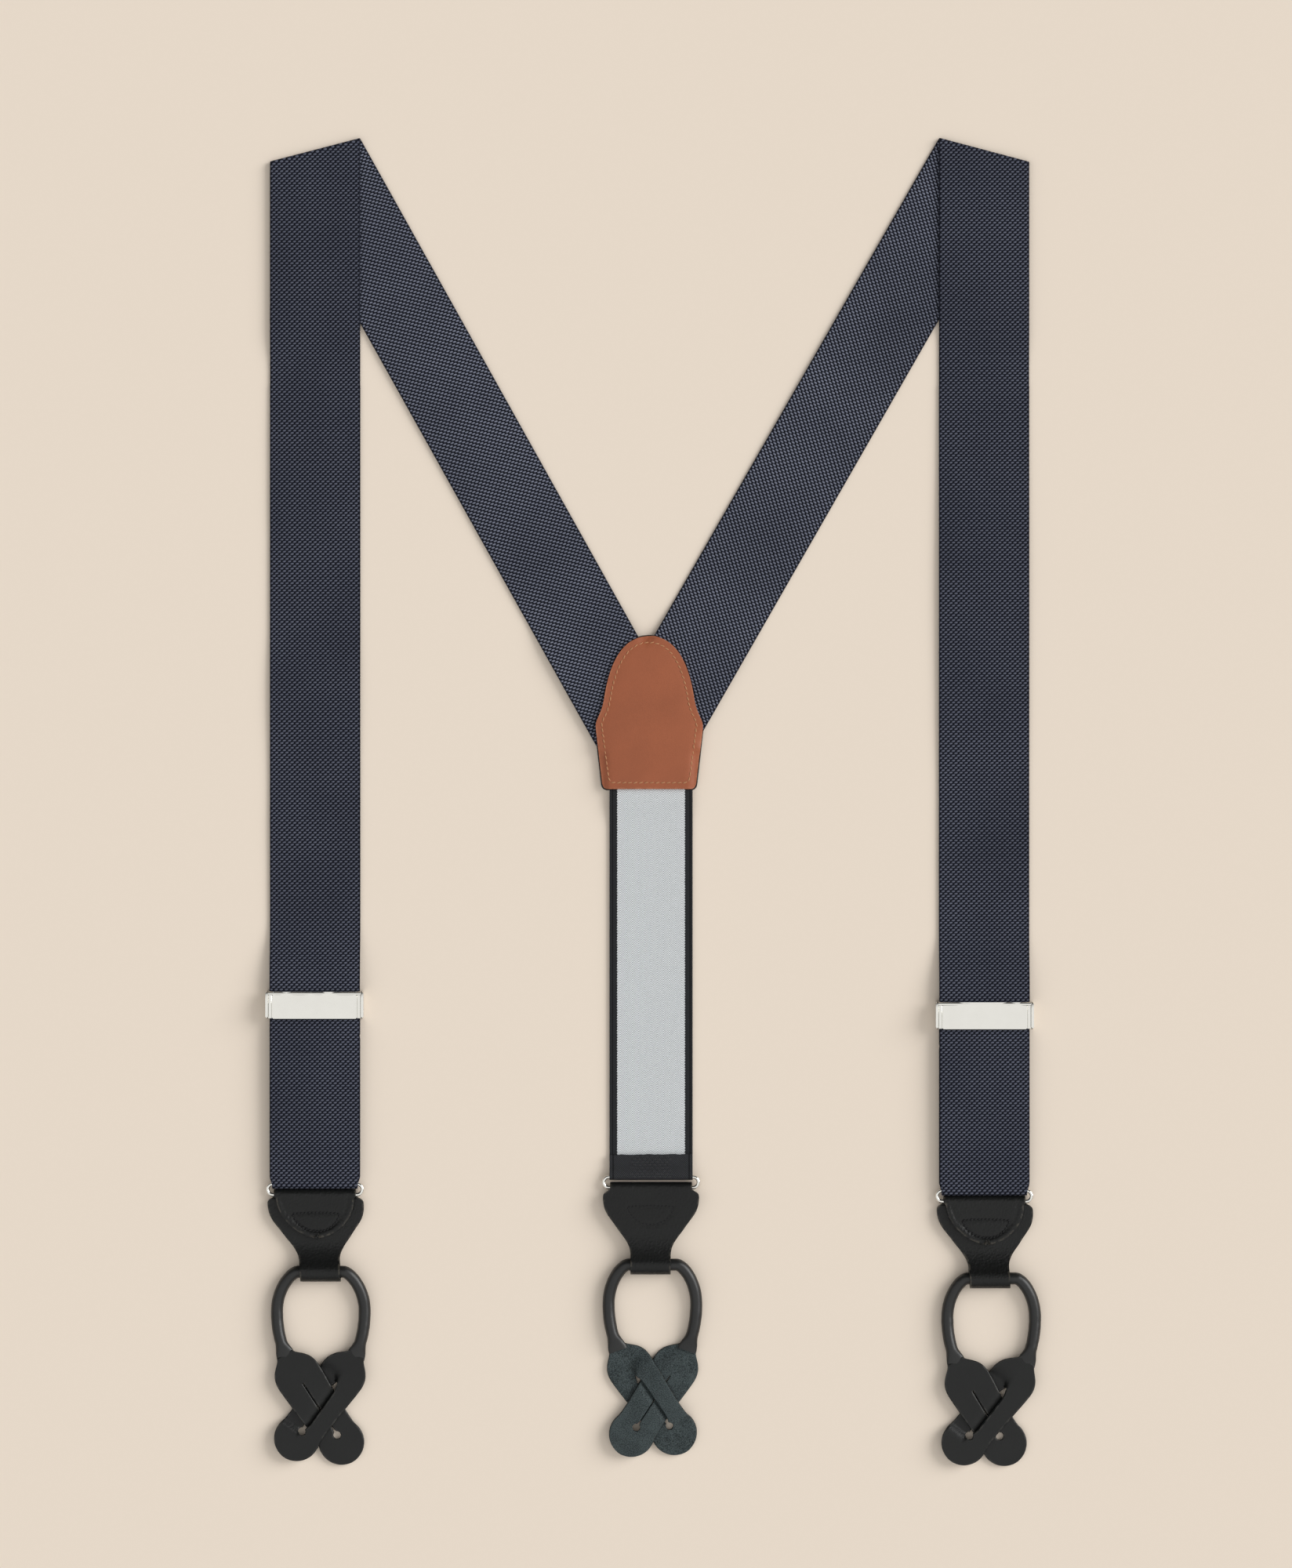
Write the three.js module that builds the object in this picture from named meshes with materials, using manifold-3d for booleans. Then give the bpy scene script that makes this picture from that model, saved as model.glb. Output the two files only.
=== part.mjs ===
// Button-on dress suspenders, laid flat on their outer side: a leather back patch, two woven straps that turn
// over at the shoulders, a lever adjuster on each strap, and three wire rings that hold leather carriers with
// rolled leather loops and buttonhole tabs. Millimetres, +Z up, +Y towards the shoulders.
// The origin is the middle of the back patch's outer face, which lies on z = 0.
import * as THREE from "three";
import { mergeVertices } from "three/addons/utils/BufferGeometryUtils.js";
import Module from "manifold-3d";

const wasm = await Module();
wasm.setup();

// ---- woven straps and elastic ----
const strapWidth = 38;
const strapThick = 1.2;
const leftX = -140.7; // centre lines of the two front runs
const rightX = 141.1;
const shoulderY = 236.9; // where the turned edge crosses that centre line
const crossingX = -1.6; // where the two diagonals' centre lines meet
const crossingY = -12.2;
const shoulderGap = 0.1; // between the two layers at the turned shoulder
const elasticWidth = 35;
const elasticThick = 1.2;
const elasticFoldLength = 11.5; // the end turned up over the elastic's inner face

// ---- leather ----
const carrierThick = 1.5;
const carrierWidth = 40.5; // widest part of the bell
const carrierFoldWidth = 34.5; // where it passes through the ring
const carrierReach = 38.9; // from the ring fold to the bottom of the neck
const neckWidth = 16.9;
const flapReach = 20.1; // from the ring fold to the tip of the flap
const flapWidth = 32.6;
const patchTop = 32.7;
const patchBottom = -32.7;
const patchWidth = 46;
const patchBottomWidth = 40;
const outerPatchThick = 1.4;
const liningThick = 1.2;

// ---- ring ----
const wireDia = 1.5;
const ringWidth = strapWidth + 3.6; // so that its round ends stand clear of the strap
const ringPlay = 0.2; // between the strap and the leather where both turn inside the ring

// ---- rolled loop and buttonhole tabs ----
const cordDia = 5.1;
const coreDia = 2.8;
const loopWidth = 42;
const loopDrop = 33.3; // from the neck to where the cord flattens into a tab
const tabWidth = 20; // widest, a third of the way down
const tabDiscDia = 19.4;
const tabLeatherThick = 1.2;
const tabLiningThick = 0.7;
const slitWidth = 3;
const slitStart = 14.7; // along the tab, from its root
const holeDia = 3.6;
const holeSetback = 3.4; // from the disc's centre back towards the root

// ---- adjuster ----
const clipWidth = strapWidth + 2.7;
const clipHeight = 11.5;
const clipSheet = 0.6;
const plateThick = 0.7;
const coverWidth = strapWidth - 3.1;
const toothSetback = 2.6; // of the row of teeth, from the pin
const toothMargin = 4; // of the strap's width that the row leaves free
const toothBase = 0.9;
const coverThick = 1;
const pinDia = 0.9;
const toothCount = 9;
const toothHeight = 0.5;

// ---- threads ----
const threadDia = 0.7;
const stitchInset = 3.2; // patch seam, in from the edge
const barTackWidth = 18.4;
const barTackHeight = 6.6;
const barTackThick = 0.4;

// ---- fits ----
const layGap = 0.15; // between layers that lie on each other
const cutGap = 0.3; // between pieces of one band that are cut from each other
const tabRootGap = 1.3; // between the end of the rolled cord and the square root of a tab
const runGap = 0.06; // pin in its holes
const bendSteps = 6; // segments in a tight half turn

// ---- places of the three ends and the two adjusters ----
// lean is how far the neck of the carrier hangs to the side of the ring's middle, loopSlide how far the rolled
// loop has run through the neck, and discs the middles of tab a's and tab b's discs, from the neck.
const ends = [
  {
    name: "front_left",
    x: leftX,
    ringY: -200.7,
    clipY: -123,
    lean: 2.3,
    loopSlide: 0.2,
    discs: { a: [8.6, -71.9], b: [-10, -70.1] },
  },
  {
    name: "front_right",
    x: rightX,
    ringY: -203.5,
    clipY: -127.4,
    lean: 2.1,
    loopSlide: 0.8,
    discs: { a: [5.4, -69.6], b: [-11.4, -69.1] },
  },
  {
    name: "back",
    x: 0.8,
    ringY: -197.7,
    faceDown: true,
    lean: -0.2,
    loopSlide: 0.8,
    discs: { a: [8.7, -71.4], b: [-9.1, -70.9] },
  },
];

// ---- worked-out sizes ----
const strapFoldRadius = wireDia / 2 + layGap + strapThick / 2;
// round the wire, with room for the middle layer between the other two
const leatherFoldRadius = Math.max((wireDia + carrierThick) / 2, carrierThick) + layGap;
const strapFoldReach = strapFoldRadius + strapThick / 2;
const leatherFoldReach = leatherFoldRadius + carrierThick / 2;
const wireHalfGap = (strapFoldReach + leatherFoldReach + ringPlay) / 2; // ring centre to a long wire
const ringHeight = 2 * wireHalfGap + wireDia;
const ringZ = leatherFoldReach;
const neckRadius = cordDia / 2 + layGap + carrierThick / 2;
const neckZ = carrierThick / 2 + neckRadius;
const neckY = leatherFoldReach - wireHalfGap - carrierReach + neckRadius + carrierThick / 2;
const flapTipY = leatherFoldReach - wireHalfGap - flapReach;
const bellTopY = -wireHalfGap - 0.95; // the bell's shoulders, just below the lower wire
const middleTopY = -wireHalfGap - wireDia / 2 - layGap - 0.25; // the layer that stops below the wire
const neckLeave = (55 * Math.PI) / 180; // round the cord, from level, where the leather leaves it
const tabThick = tabLeatherThick + tabLiningThick + layGap;
const tabStep = tabThick + layGap; // between a tab that lies low and one that lies over it
const patchLayerZ = outerPatchThick + layGap; // underside of the straps inside the patch
const plateZ = strapThick + layGap;
const endLayerZ = plateZ + plateThick + layGap; // the strap's sewn end, in front of the plate
const gripZ = endLayerZ + strapThick + layGap; // underside of the strap where it runs through the adjuster
const coverZ = gripZ + strapThick + toothHeight + layGap;
const barrelRadius = pinDia / 2 + runGap + 0.4;
const pinY = clipHeight / 2 - barrelRadius;
const pinZ = gripZ + strapThick + layGap + barrelRadius;
const plateTopY = clipHeight / 2 - strapThick - 2 * layGap;
const plateBottomY = 1 - clipHeight / 2;
const seamY = -clipHeight / 2 - 3.8; // the stitches across the strap's sewn end
const sewnEndY = seamY - 3.5;
const spare = 60; // extra length of a band that is cut back afterwards

// ---- materials ----
function material(color, roughness, metalness) {
  return new THREE.MeshStandardMaterial({ color, roughness, metalness });
}
const materials = {
  webbing: material(0x343740, 0.8, 0),
  elastic: material(0xccd0d3, 0.85, 0),
  elasticEdge: material(0x1a1b1e, 0.85, 0),
  blackLeather: material(0x2c2d2d, 0.5, 0),
  smoothLeather: material(0x262827, 0.4, 0),
  tanLeather: material(0x9c5a3f, 0.55, 0),
  tabLining: material(0x3a4345, 0.7, 0),
  core: material(0xd8d2c4, 0.9, 0),
  nickel: material(0xd6d3cc, 0.12, 1),
  blackThread: material(0x101112, 0.8, 0),
  tanThread: material(0xb07a55, 0.8, 0),
};

// ---- solids ----
function toSolid(geometry) {
  const bare = geometry.index ? geometry.toNonIndexed() : geometry.clone();
  bare.deleteAttribute("normal");
  bare.deleteAttribute("uv");
  const merged = mergeVertices(bare, 1e-4);
  return new wasm.Manifold(
    new wasm.Mesh({
      numProp: 3,
      vertProperties: merged.attributes.position.array,
      triVerts: new Uint32Array(merged.index.array),
    }),
  );
}

function toGeometry(solid) {
  const mesh = solid.getMesh();
  const geometry = new THREE.BufferGeometry();
  geometry.setAttribute("position", new THREE.BufferAttribute(new Float32Array(mesh.vertProperties), 3));
  geometry.setIndex(new THREE.BufferAttribute(new Uint32Array(mesh.triVerts), 1));
  geometry.computeVertexNormals();
  return geometry;
}

function named(name, geometry, look) {
  const mesh = new THREE.Mesh(geometry, look);
  mesh.name = name;
  return mesh;
}

// A shape in plan, made into a block from z = low to z = high.
function planBlock(shape, low, high, curveSegments = 6) {
  const options = { depth: high - low, bevelEnabled: false, curveSegments };
  return new THREE.ExtrudeGeometry(shape, options).translate(0, 0, low);
}

// A shape in the Y-Z plane, made into a block from x = left to x = right.
const sideTurn = new THREE.Matrix4().makeBasis(
  new THREE.Vector3(0, 1, 0),
  new THREE.Vector3(0, 0, 1),
  new THREE.Vector3(1, 0, 0),
);
function sideBlock(shape, left, right) {
  const options = { depth: right - left, bevelEnabled: false, curveSegments: bendSteps };
  return new THREE.ExtrudeGeometry(shape, options).translate(0, 0, left).applyMatrix4(sideTurn);
}

function box(x, y, z, sizeX, sizeY, sizeZ) {
  return new THREE.BoxGeometry(sizeX, sizeY, sizeZ).translate(x, y, z);
}

function rodAlongX(radius, left, right, y, z, sides = 12) {
  const rod = new THREE.CylinderGeometry(radius, radius, right - left, sides).rotateZ(Math.PI / 2);
  return rod.translate((left + right) / 2, y, z);
}

// A line of points with a thickness: the outline down one side of the line and back up the other.
// along is the distance of each outline point's own line point from the line's start.
function thicken(points, thickness) {
  const line = points.filter((point, i) => i === 0 || point.distanceTo(points[i - 1]) > 0.01);
  const left = [];
  const right = [];
  let along = 0;
  line.forEach((point, i) => {
    const before = line[Math.max(i - 1, 0)];
    const after = line[Math.min(i + 1, line.length - 1)];
    const entering = point.clone().sub(before).normalize();
    const leaving = after.clone().sub(point).normalize();
    const direction = entering.clone().add(leaving).normalize();
    const spread = i === 0 || i === line.length - 1 ? 1 : Math.max(direction.dot(leaving), 0.5);
    const offset = new THREE.Vector2(-direction.y, direction.x).multiplyScalar(thickness / 2 / spread);
    along += point.distanceTo(before);
    left.push({ point: point.clone().add(offset), along });
    right.unshift({ point: point.clone().sub(offset), along });
  });
  return [...left, ...right];
}

function thickShape(line, thickness) {
  return new THREE.Shape(thicken(line, thickness).map((corner) => corner.point));
}

// A band whose side outline is given, with its two edges placed by place(corner, side), side being -1 or 1.
function skewBand(outline, place) {
  const flat = outline.map((corner) => corner.point);
  if (THREE.ShapeUtils.isClockWise(flat)) {
    outline.reverse();
    flat.reverse();
  }
  const count = outline.length;
  const corners = [-1, 1].flatMap((side) => outline.map((corner) => place(corner, side)));
  const faces = THREE.ShapeUtils.triangulateShape(flat, []);
  const index = faces.flatMap(([a, b, c]) => [a, c, b, a + count, b + count, c + count]);
  for (let i = 0; i < count; i++) {
    const j = (i + 1) % count;
    index.push(i, j, j + count, i, j + count, i + count);
  }
  const geometry = new THREE.BufferGeometry().setFromPoints(corners);
  geometry.setIndex(index);
  return geometry;
}

// The outline mirrored in the Y axis, from the points of its right half, bottom to top.
function mirrored(half) {
  const left = half.map((point) => new THREE.Vector2(-point.x, point.y)).reverse();
  return new THREE.Shape([...half, ...left]);
}

function vec(x, y) {
  return new THREE.Vector2(x, y);
}

// ---- straps ----
// The turned edge at the shoulder halves the angle between the diagonal and the front run.
const shoulderRadius = (strapThick + shoulderGap) / 2;
const shoulderTurn = Math.PI * shoulderRadius;
const overDiagonalY = shoulderY - 1.85 * strapWidth; // the front run lies on the diagonal down to here
const frontRunTopY = overDiagonalY - 0.76 * strapWidth; // where the front run's own node starts
const strapCutY = crossingY - 2; // the diagonals are cut off here, and the elastic starts below
const patchDrop = { start: 46, end: 62 }; // where a diagonal comes down from the patch
const frontDrop = 16; // length over which the front run comes down from the diagonal
const clipRise = { start: 34, end: 8 }; // above the adjuster, where the front run climbs up to pass through it

// From the back patch up to the shoulder, over, and down the first stretch of the front run.
// It is made to the right of the diagonals' meeting point, and mirrored for the left strap.
function makeShoulderRun(end) {
  const reach = Math.abs(end.x - crossingX);
  const halfAngle = Math.atan2(reach, shoulderY - crossingY) / 2;
  const across = vec(Math.cos(halfAngle), -Math.sin(halfAngle)); // along the turned edge
  const square = vec(Math.sin(halfAngle), Math.cos(halfAngle));
  const turnAt = (reach / Math.sin(halfAngle) - shoulderTurn) / 2;
  const leaveAt = reach * square.x + (overDiagonalY - crossingY) * square.y;
  const floor = strapThick / 2;
  const inPatch = patchLayerZ + floor;
  const upper = floor + 2 * shoulderRadius;
  const start = -spare / 2;
  const path = new THREE.Path();
  path.moveTo(start, inPatch);
  path.lineTo(patchDrop.start, inPatch);
  path.bezierCurveTo(patchDrop.start + 6, inPatch, patchDrop.end - 6, floor, patchDrop.end, floor);
  path.lineTo(turnAt, floor);
  path.absarc(turnAt, floor + shoulderRadius, shoulderRadius, -Math.PI / 2, Math.PI / 2, false);
  path.lineTo(leaveAt, upper);
  const landAt = leaveAt - frontDrop;
  path.bezierCurveTo(leaveAt - 6, upper, landAt + 6, floor, landAt, floor);
  path.lineTo(leaveAt - spare, floor);
  const halfEdge = strapWidth / 2 / Math.cos(halfAngle);
  const band = skewBand(thicken(path.getPoints(bendSteps), strapThick), (corner, edge) => {
    const shift = (corner.along + start) * Math.tan(halfAngle) + edge * halfEdge;
    const x = square.x * corner.point.x + across.x * shift;
    const y = crossingY + square.y * corner.point.x + across.y * shift;
    return new THREE.Vector3(x, y, corner.point.y);
  });
  const wide = 2 * reach;
  const kept = toSolid(box(wide / 2 + layGap / 2, 0, 0, wide, 1200, 40));
  const patchEnd = toSolid(box(0, strapCutY - 300, 0, reach, 600, 40));
  const frontEnd = toSolid(box(reach, frontRunTopY - 300, 0, 1.6 * strapWidth, 600, 40));
  const geometry = toGeometry(toSolid(band).intersect(kept).subtract(patchEnd).subtract(frontEnd));
  if (end.x < crossingX) {
    geometry.scale(-1, 1, 1);
    geometry.index.array.reverse();
  }
  return geometry.translate(crossingX, 0, 0);
}

// Down the front and through the adjuster, to its lower edge.
function makeFrontRun(end) {
  const floor = strapThick / 2;
  const raised = gripZ + floor;
  const path = new THREE.Path();
  path.moveTo(frontRunTopY - cutGap, floor);
  const foot = end.clipY + clipRise.start;
  const top = end.clipY + clipRise.end;
  path.lineTo(foot, floor);
  path.bezierCurveTo(foot - 10, floor, top + 10, raised, top, raised);
  path.lineTo(end.clipY - clipHeight / 2, raised);
  const shape = thickShape(path.getPoints(bendSteps), strapThick);
  return sideBlock(shape, end.x - strapWidth / 2, end.x + strapWidth / 2);
}

// A band turned round the ring's upper wire, narrowed at the turn so that it clears the ring's round ends.
// The line runs in the Y-Z plane, from the upper layer round the wire to the lower one.
function turnedBand(end, line, thickness, width) {
  const low = end.ringY - ringHeight;
  const fold = end.ringY + wireHalfGap;
  const narrow = Math.min(width, ringWidth - ringHeight - ringPlay) / 2;
  const high = end.ringY + 2 * shoulderY;
  const half = [vec(narrow, low), vec(narrow, fold + 0.9), vec(width / 2, fold + 4), vec(width / 2, high)];
  const trim = planBlock(mirrored(half), -2, 20).translate(end.x, 0, 0);
  const block = sideBlock(thickShape(line, thickness), end.x - width / 2, end.x + width / 2);
  return toGeometry(toSolid(block).intersect(toSolid(trim)));
}

// From the adjuster's lower edge down to the ring, round its wire, and back up behind.
function makeLowerLoop(end) {
  const floor = strapThick / 2;
  const foldY = end.ringY + wireHalfGap;
  const path = new THREE.Path();
  path.moveTo(end.clipY - clipHeight / 2 - cutGap, gripZ + floor);
  path.lineTo(end.clipY - clipHeight / 2 - 12, gripZ + floor);
  path.lineTo(foldY + 6, ringZ + strapFoldRadius);
  path.lineTo(foldY, ringZ + strapFoldRadius);
  path.absarc(foldY, ringZ, strapFoldRadius, Math.PI / 2, (3 * Math.PI) / 2, false);
  path.lineTo(foldY + 5, ringZ - strapFoldRadius);
  path.lineTo(foldY + 14, floor);
  path.lineTo(end.clipY + sewnEndY - cutGap, floor);
  return turnedBand(end, path.getPoints(bendSteps), strapThick, strapWidth);
}

// The strap's end, round the top edge of the adjuster's plate and sewn down below it.
function makeSewnEnd(end) {
  const floor = strapThick / 2;
  const front = endLayerZ + floor;
  const turn = (front - floor) / 2;
  const topY = end.clipY + clipHeight / 2 - turn - floor;
  const path = new THREE.Path();
  path.moveTo(end.clipY + sewnEndY, floor);
  path.lineTo(topY, floor);
  path.absarc(topY, floor + turn, turn, -Math.PI / 2, Math.PI / 2, false);
  path.lineTo(end.clipY + plateBottomY, front);
  path.lineTo(end.clipY + seamY + 1.6, strapThick + layGap + floor);
  path.lineTo(end.clipY + sewnEndY, strapThick + layGap + floor);
  const shape = thickShape(path.getPoints(bendSteps), strapThick);
  return sideBlock(shape, end.x - strapWidth / 2, end.x + strapWidth / 2);
}

// One row of stitches across the sewn end, above it and below the front run.
function makeEndSeam(end) {
  const z = 2 * strapThick + 2 * layGap + threadDia / 2;
  const reach = strapWidth / 2 - 2;
  return rodAlongX(threadDia / 2, end.x - reach, end.x + reach, end.clipY + seamY, z, 6);
}

// ---- elastic ----
const elasticTopY = strapCutY - cutGap;
const backEnd = ends.find((end) => end.faceDown);
const elasticCutY = backEnd.ringY + wireHalfGap + elasticFoldLength + 6; // web and turned end meet here
const webDrop = { start: 2, end: 16 }; // below the patch, where the web comes down from it
const turnedFoot = 5.5; // above the fold, where the turned end comes to lie on the web

function makeElasticWeb(end) {
  const floor = elasticThick / 2;
  const inPatch = patchLayerZ + floor;
  const path = new THREE.Path();
  path.moveTo(elasticTopY, inPatch);
  const top = patchBottom - webDrop.start;
  const foot = patchBottom - webDrop.end;
  path.lineTo(top, inPatch);
  path.bezierCurveTo(top - 6, inPatch, foot + 6, floor, foot, floor);
  path.lineTo(elasticCutY, floor);
  const shape = thickShape(path.getPoints(bendSteps), elasticThick);
  return sideBlock(shape, end.x - elasticWidth / 2, end.x + elasticWidth / 2);
}

function makeElasticEnd(end) {
  const floor = elasticThick / 2;
  const foldY = end.ringY + wireHalfGap;
  const radius = wireDia / 2 + layGap + elasticThick / 2;
  const turned = elasticThick + layGap + floor;
  const path = new THREE.Path();
  path.moveTo(foldY + elasticFoldLength - radius - floor, turned);
  path.lineTo(foldY + turnedFoot, turned);
  path.lineTo(foldY + 0.8, ringZ + radius);
  path.lineTo(foldY, ringZ + radius);
  path.absarc(foldY, ringZ, radius, Math.PI / 2, (3 * Math.PI) / 2, false);
  path.lineTo(foldY + 1.5, ringZ - radius);
  path.lineTo(foldY + 4, floor);
  path.lineTo(elasticCutY - cutGap, floor);
  return turnedBand(end, path.getPoints(bendSteps), elasticThick, elasticWidth);
}

function makeBarTack(end) {
  const top = 2 * elasticThick + 2 * layGap;
  const foldY = end.ringY + wireHalfGap;
  const high = foldY + elasticFoldLength - 2.1;
  const low = Math.max(high - barTackHeight, foldY + turnedFoot + 0.2);
  return box(end.x, (low + high) / 2, top + barTackThick / 2, barTackWidth, high - low, barTackThick);
}

// ---- back patch ----
function patchOutline(inset) {
  const bottom = patchBottom + inset;
  const top = patchTop - inset;
  const half = patchWidth / 2 - inset;
  const low = patchBottomWidth / 2 - inset;
  const corner = 2.4;
  const waistY = -4.8; // widest, above the tapered bottom
  const domeY = 4.6; // where the dome's side begins
  const shape = new THREE.Shape();
  shape.moveTo(-low + corner, bottom);
  shape.lineTo(low - corner, bottom);
  shape.quadraticCurveTo(low, bottom, low + 0.3, bottom + corner);
  shape.lineTo(half + 0.2, waistY);
  shape.bezierCurveTo(half, waistY + 2, half - 2.6, domeY - 2.6, half - 3.3, domeY);
  shape.bezierCurveTo(half - 4.4, domeY + 7.4, half - 7.5, top, 0, top);
  shape.bezierCurveTo(7.5 - half, top, 4.4 - half, domeY + 7.4, 3.3 - half, domeY);
  shape.bezierCurveTo(2.6 - half, domeY - 2.6, -half, waistY + 2, -half - 0.2, waistY);
  shape.lineTo(-low - 0.3, bottom + corner);
  shape.quadraticCurveTo(-low, bottom, -low + corner, bottom);
  return shape;
}

function makePatchSeam(z) {
  const outline = patchOutline(stitchInset).getSpacedPoints(44);
  const points = outline.slice(0, -1).map((point) => new THREE.Vector3(point.x, point.y, z + threadDia / 2));
  const curve = new THREE.CatmullRomCurve3(points, true);
  return new THREE.TubeGeometry(curve, 44, threadDia / 2, 4, true);
}

// ---- ring ----
class StadiumCurve extends THREE.Curve {
  constructor(halfLength, radius) {
    super();
    this.halfLength = halfLength;
    this.radius = radius;
  }
  // Each half of the parameter goes from the middle of one long wire, round an end, to the middle of the other.
  getPoint(t) {
    const endShare = 0.8; // of the steps, how many go to the round end
    const straight = (1 - endShare) / 2;
    const side = t % 1 < 0.5 ? 1 : -1;
    const phase = (t * 2) % 1;
    const angle = Math.PI * THREE.MathUtils.clamp((phase - straight) / endShare, 0, 1);
    const along = Math.min(phase, 1 - phase, straight) / straight;
    const x = this.halfLength * along + this.radius * Math.sin(angle);
    return new THREE.Vector3(side * x, side * this.radius * Math.cos(angle), 0);
  }
  getPointAt(t) {
    return this.getPoint(t);
  }
  getTangentAt(t) {
    return this.getTangent(t);
  }
}

function makeRing(end) {
  const curve = new StadiumCurve((ringWidth - ringHeight) / 2, wireHalfGap);
  const tube = new THREE.TubeGeometry(curve, 40, wireDia / 2, 6, true);
  return tube.translate(end.x, end.ringY, ringZ);
}

// ---- carrier ----
// The leather starts at the tip of the flap, goes over the ring's lower wire, down one side of the neck,
// round the rolled cord, and up again between the other two layers.
function bellHalf() {
  const widest = carrierWidth / 2;
  const neck = neckWidth / 2;
  const fold = carrierFoldWidth / 2;
  const bottom = neckY - neckRadius - carrierThick - 1;
  const curve = new THREE.Path();
  curve.moveTo(neck, bottom);
  curve.lineTo(neck, neckY + 4.5);
  curve.bezierCurveTo(neck, neckY + 9, neck + 4, neckY + 12.5, neck + 6.2, neckY + 16);
  curve.bezierCurveTo(neck + 9, neckY + 20.2, widest, neckY + 22, widest, neckY + 28.4);
  curve.bezierCurveTo(widest, neckY + 30, widest - 1, bellTopY, widest - 2.4, bellTopY);
  curve.lineTo(fold, bellTopY);
  curve.lineTo(fold, ringHeight);
  return curve.getPoints(5);
}

function flapHalf() {
  const half = flapWidth / 2;
  const fold = carrierFoldWidth / 2;
  const curve = new THREE.Path();
  curve.moveTo(0, flapTipY);
  curve.bezierCurveTo(7.5, flapTipY, half, flapTipY + 7.5, half, bellTopY - 0.3);
  curve.lineTo(fold, bellTopY + 0.2);
  curve.lineTo(fold, ringHeight);
  return curve.getPoints(7);
}

function makeCarrier(end) {
  const lowZ = carrierThick / 2;
  const midZ = lowZ + leatherFoldRadius;
  const highZ = midZ + leatherFoldRadius;
  const flapZ = end.faceDown ? lowZ : highZ;
  const backZ = end.faceDown ? highZ : lowZ;
  const wireY = -wireHalfGap;
  const lap = 0.8; // the two bands run on into each other by this much
  const turnStart = end.faceDown ? -Math.PI / 2 : Math.PI / 2;

  const flap = new THREE.Path();
  flap.moveTo(flapTipY, flapZ);
  flap.lineTo(wireY, flapZ);
  flap.absarc(wireY, ringZ, leatherFoldRadius, turnStart, -turnStart, !end.faceDown);
  flap.lineTo(wireY - lap, backZ);

  // Over the cord and down to meet the other layers, from the ring side towards the neck.
  const leaveY = neckY + neckRadius * Math.cos(neckLeave);
  const leaveZ = neckZ + neckRadius * Math.sin(neckLeave);
  const topZ = end.faceDown ? highZ : midZ;
  const overCord = new THREE.Path();
  overCord.moveTo(end.faceDown ? wireY - lap / 2 : middleTopY, topZ);
  overCord.lineTo(neckY + 13.5, topZ);
  overCord.bezierCurveTo(neckY + 9, topZ, leaveY + 2.4, leaveZ - 1.7, leaveY, leaveZ);
  overCord.absarc(neckY, neckZ, neckRadius, neckLeave, (3 * Math.PI) / 2, false);
  overCord.lineTo(neckY + 7, lowZ);
  if (end.faceDown) {
    overCord.bezierCurveTo(neckY + 10, lowZ, neckY + 9, midZ, neckY + 12, midZ);
    overCord.lineTo(middleTopY, midZ);
  } else {
    overCord.lineTo(wireY - lap / 2, lowZ);
  }

  const reach = carrierWidth;
  const flapBlock = sideBlock(thickShape(flap.getPoints(bendSteps), carrierThick), -reach, reach);
  const bellBlock = sideBlock(thickShape(overCord.getPoints(bendSteps), carrierThick), -reach, reach);
  const flapTrim = planBlock(mirrored(flapHalf().slice(1)), -2, 20);
  const bellTrim = planBlock(mirrored(bellHalf()), -2, 20);
  const flapSolid = toSolid(flapBlock).intersect(toSolid(flapTrim));
  const bellSolid = toSolid(bellBlock).intersect(toSolid(bellTrim));
  const geometry = toGeometry(flapSolid.add(bellSolid));
  return leanFrom(geometry, end).translate(end.x, end.ringY, 0);
}

// Moves what hangs below the ring's lower wire to the side, in proportion to how far below it is.
function leanFrom(geometry, end) {
  const position = geometry.attributes.position;
  for (let i = 0; i < position.count; i++) {
    const below = Math.max(-wireHalfGap - position.getY(i), 0);
    position.setX(i, position.getX(i) + (end.lean * below) / (-wireHalfGap - neckY));
  }
  return geometry;
}

// The half-moon seam through the carrier's three layers, seen as a row on its upper face.
function makeCarrierSeam(end) {
  const top = carrierThick + 2 * leatherFoldRadius + layGap + threadDia / 2;
  const half = 10;
  const cornerY = flapTipY + 9.85;
  const bottomY = flapTipY + 2.45;
  const seam = new THREE.Path();
  seam.moveTo(-half, cornerY);
  seam.quadraticCurveTo(0, cornerY + 0.8, half, cornerY);
  seam.bezierCurveTo(half - 2, bottomY + 2, half - 6, bottomY, 0, bottomY);
  seam.bezierCurveTo(6 - half, bottomY, 2 - half, bottomY + 2, -half, cornerY);
  const spaced = seam.getSpacedPoints(22).slice(0, -1);
  const curve = new THREE.CatmullRomCurve3(
    spaced.map((point) => new THREE.Vector3(point.x, point.y, top)),
    true,
  );
  const tube = new THREE.TubeGeometry(curve, 26, threadDia / 2, 4, true);
  return leanFrom(tube, end).translate(end.x, end.ringY, 0);
}

// ---- rolled loop ----
const loopRootIn = 2.95; // how far the ends of the cord come in again from the loop's widest
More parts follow.
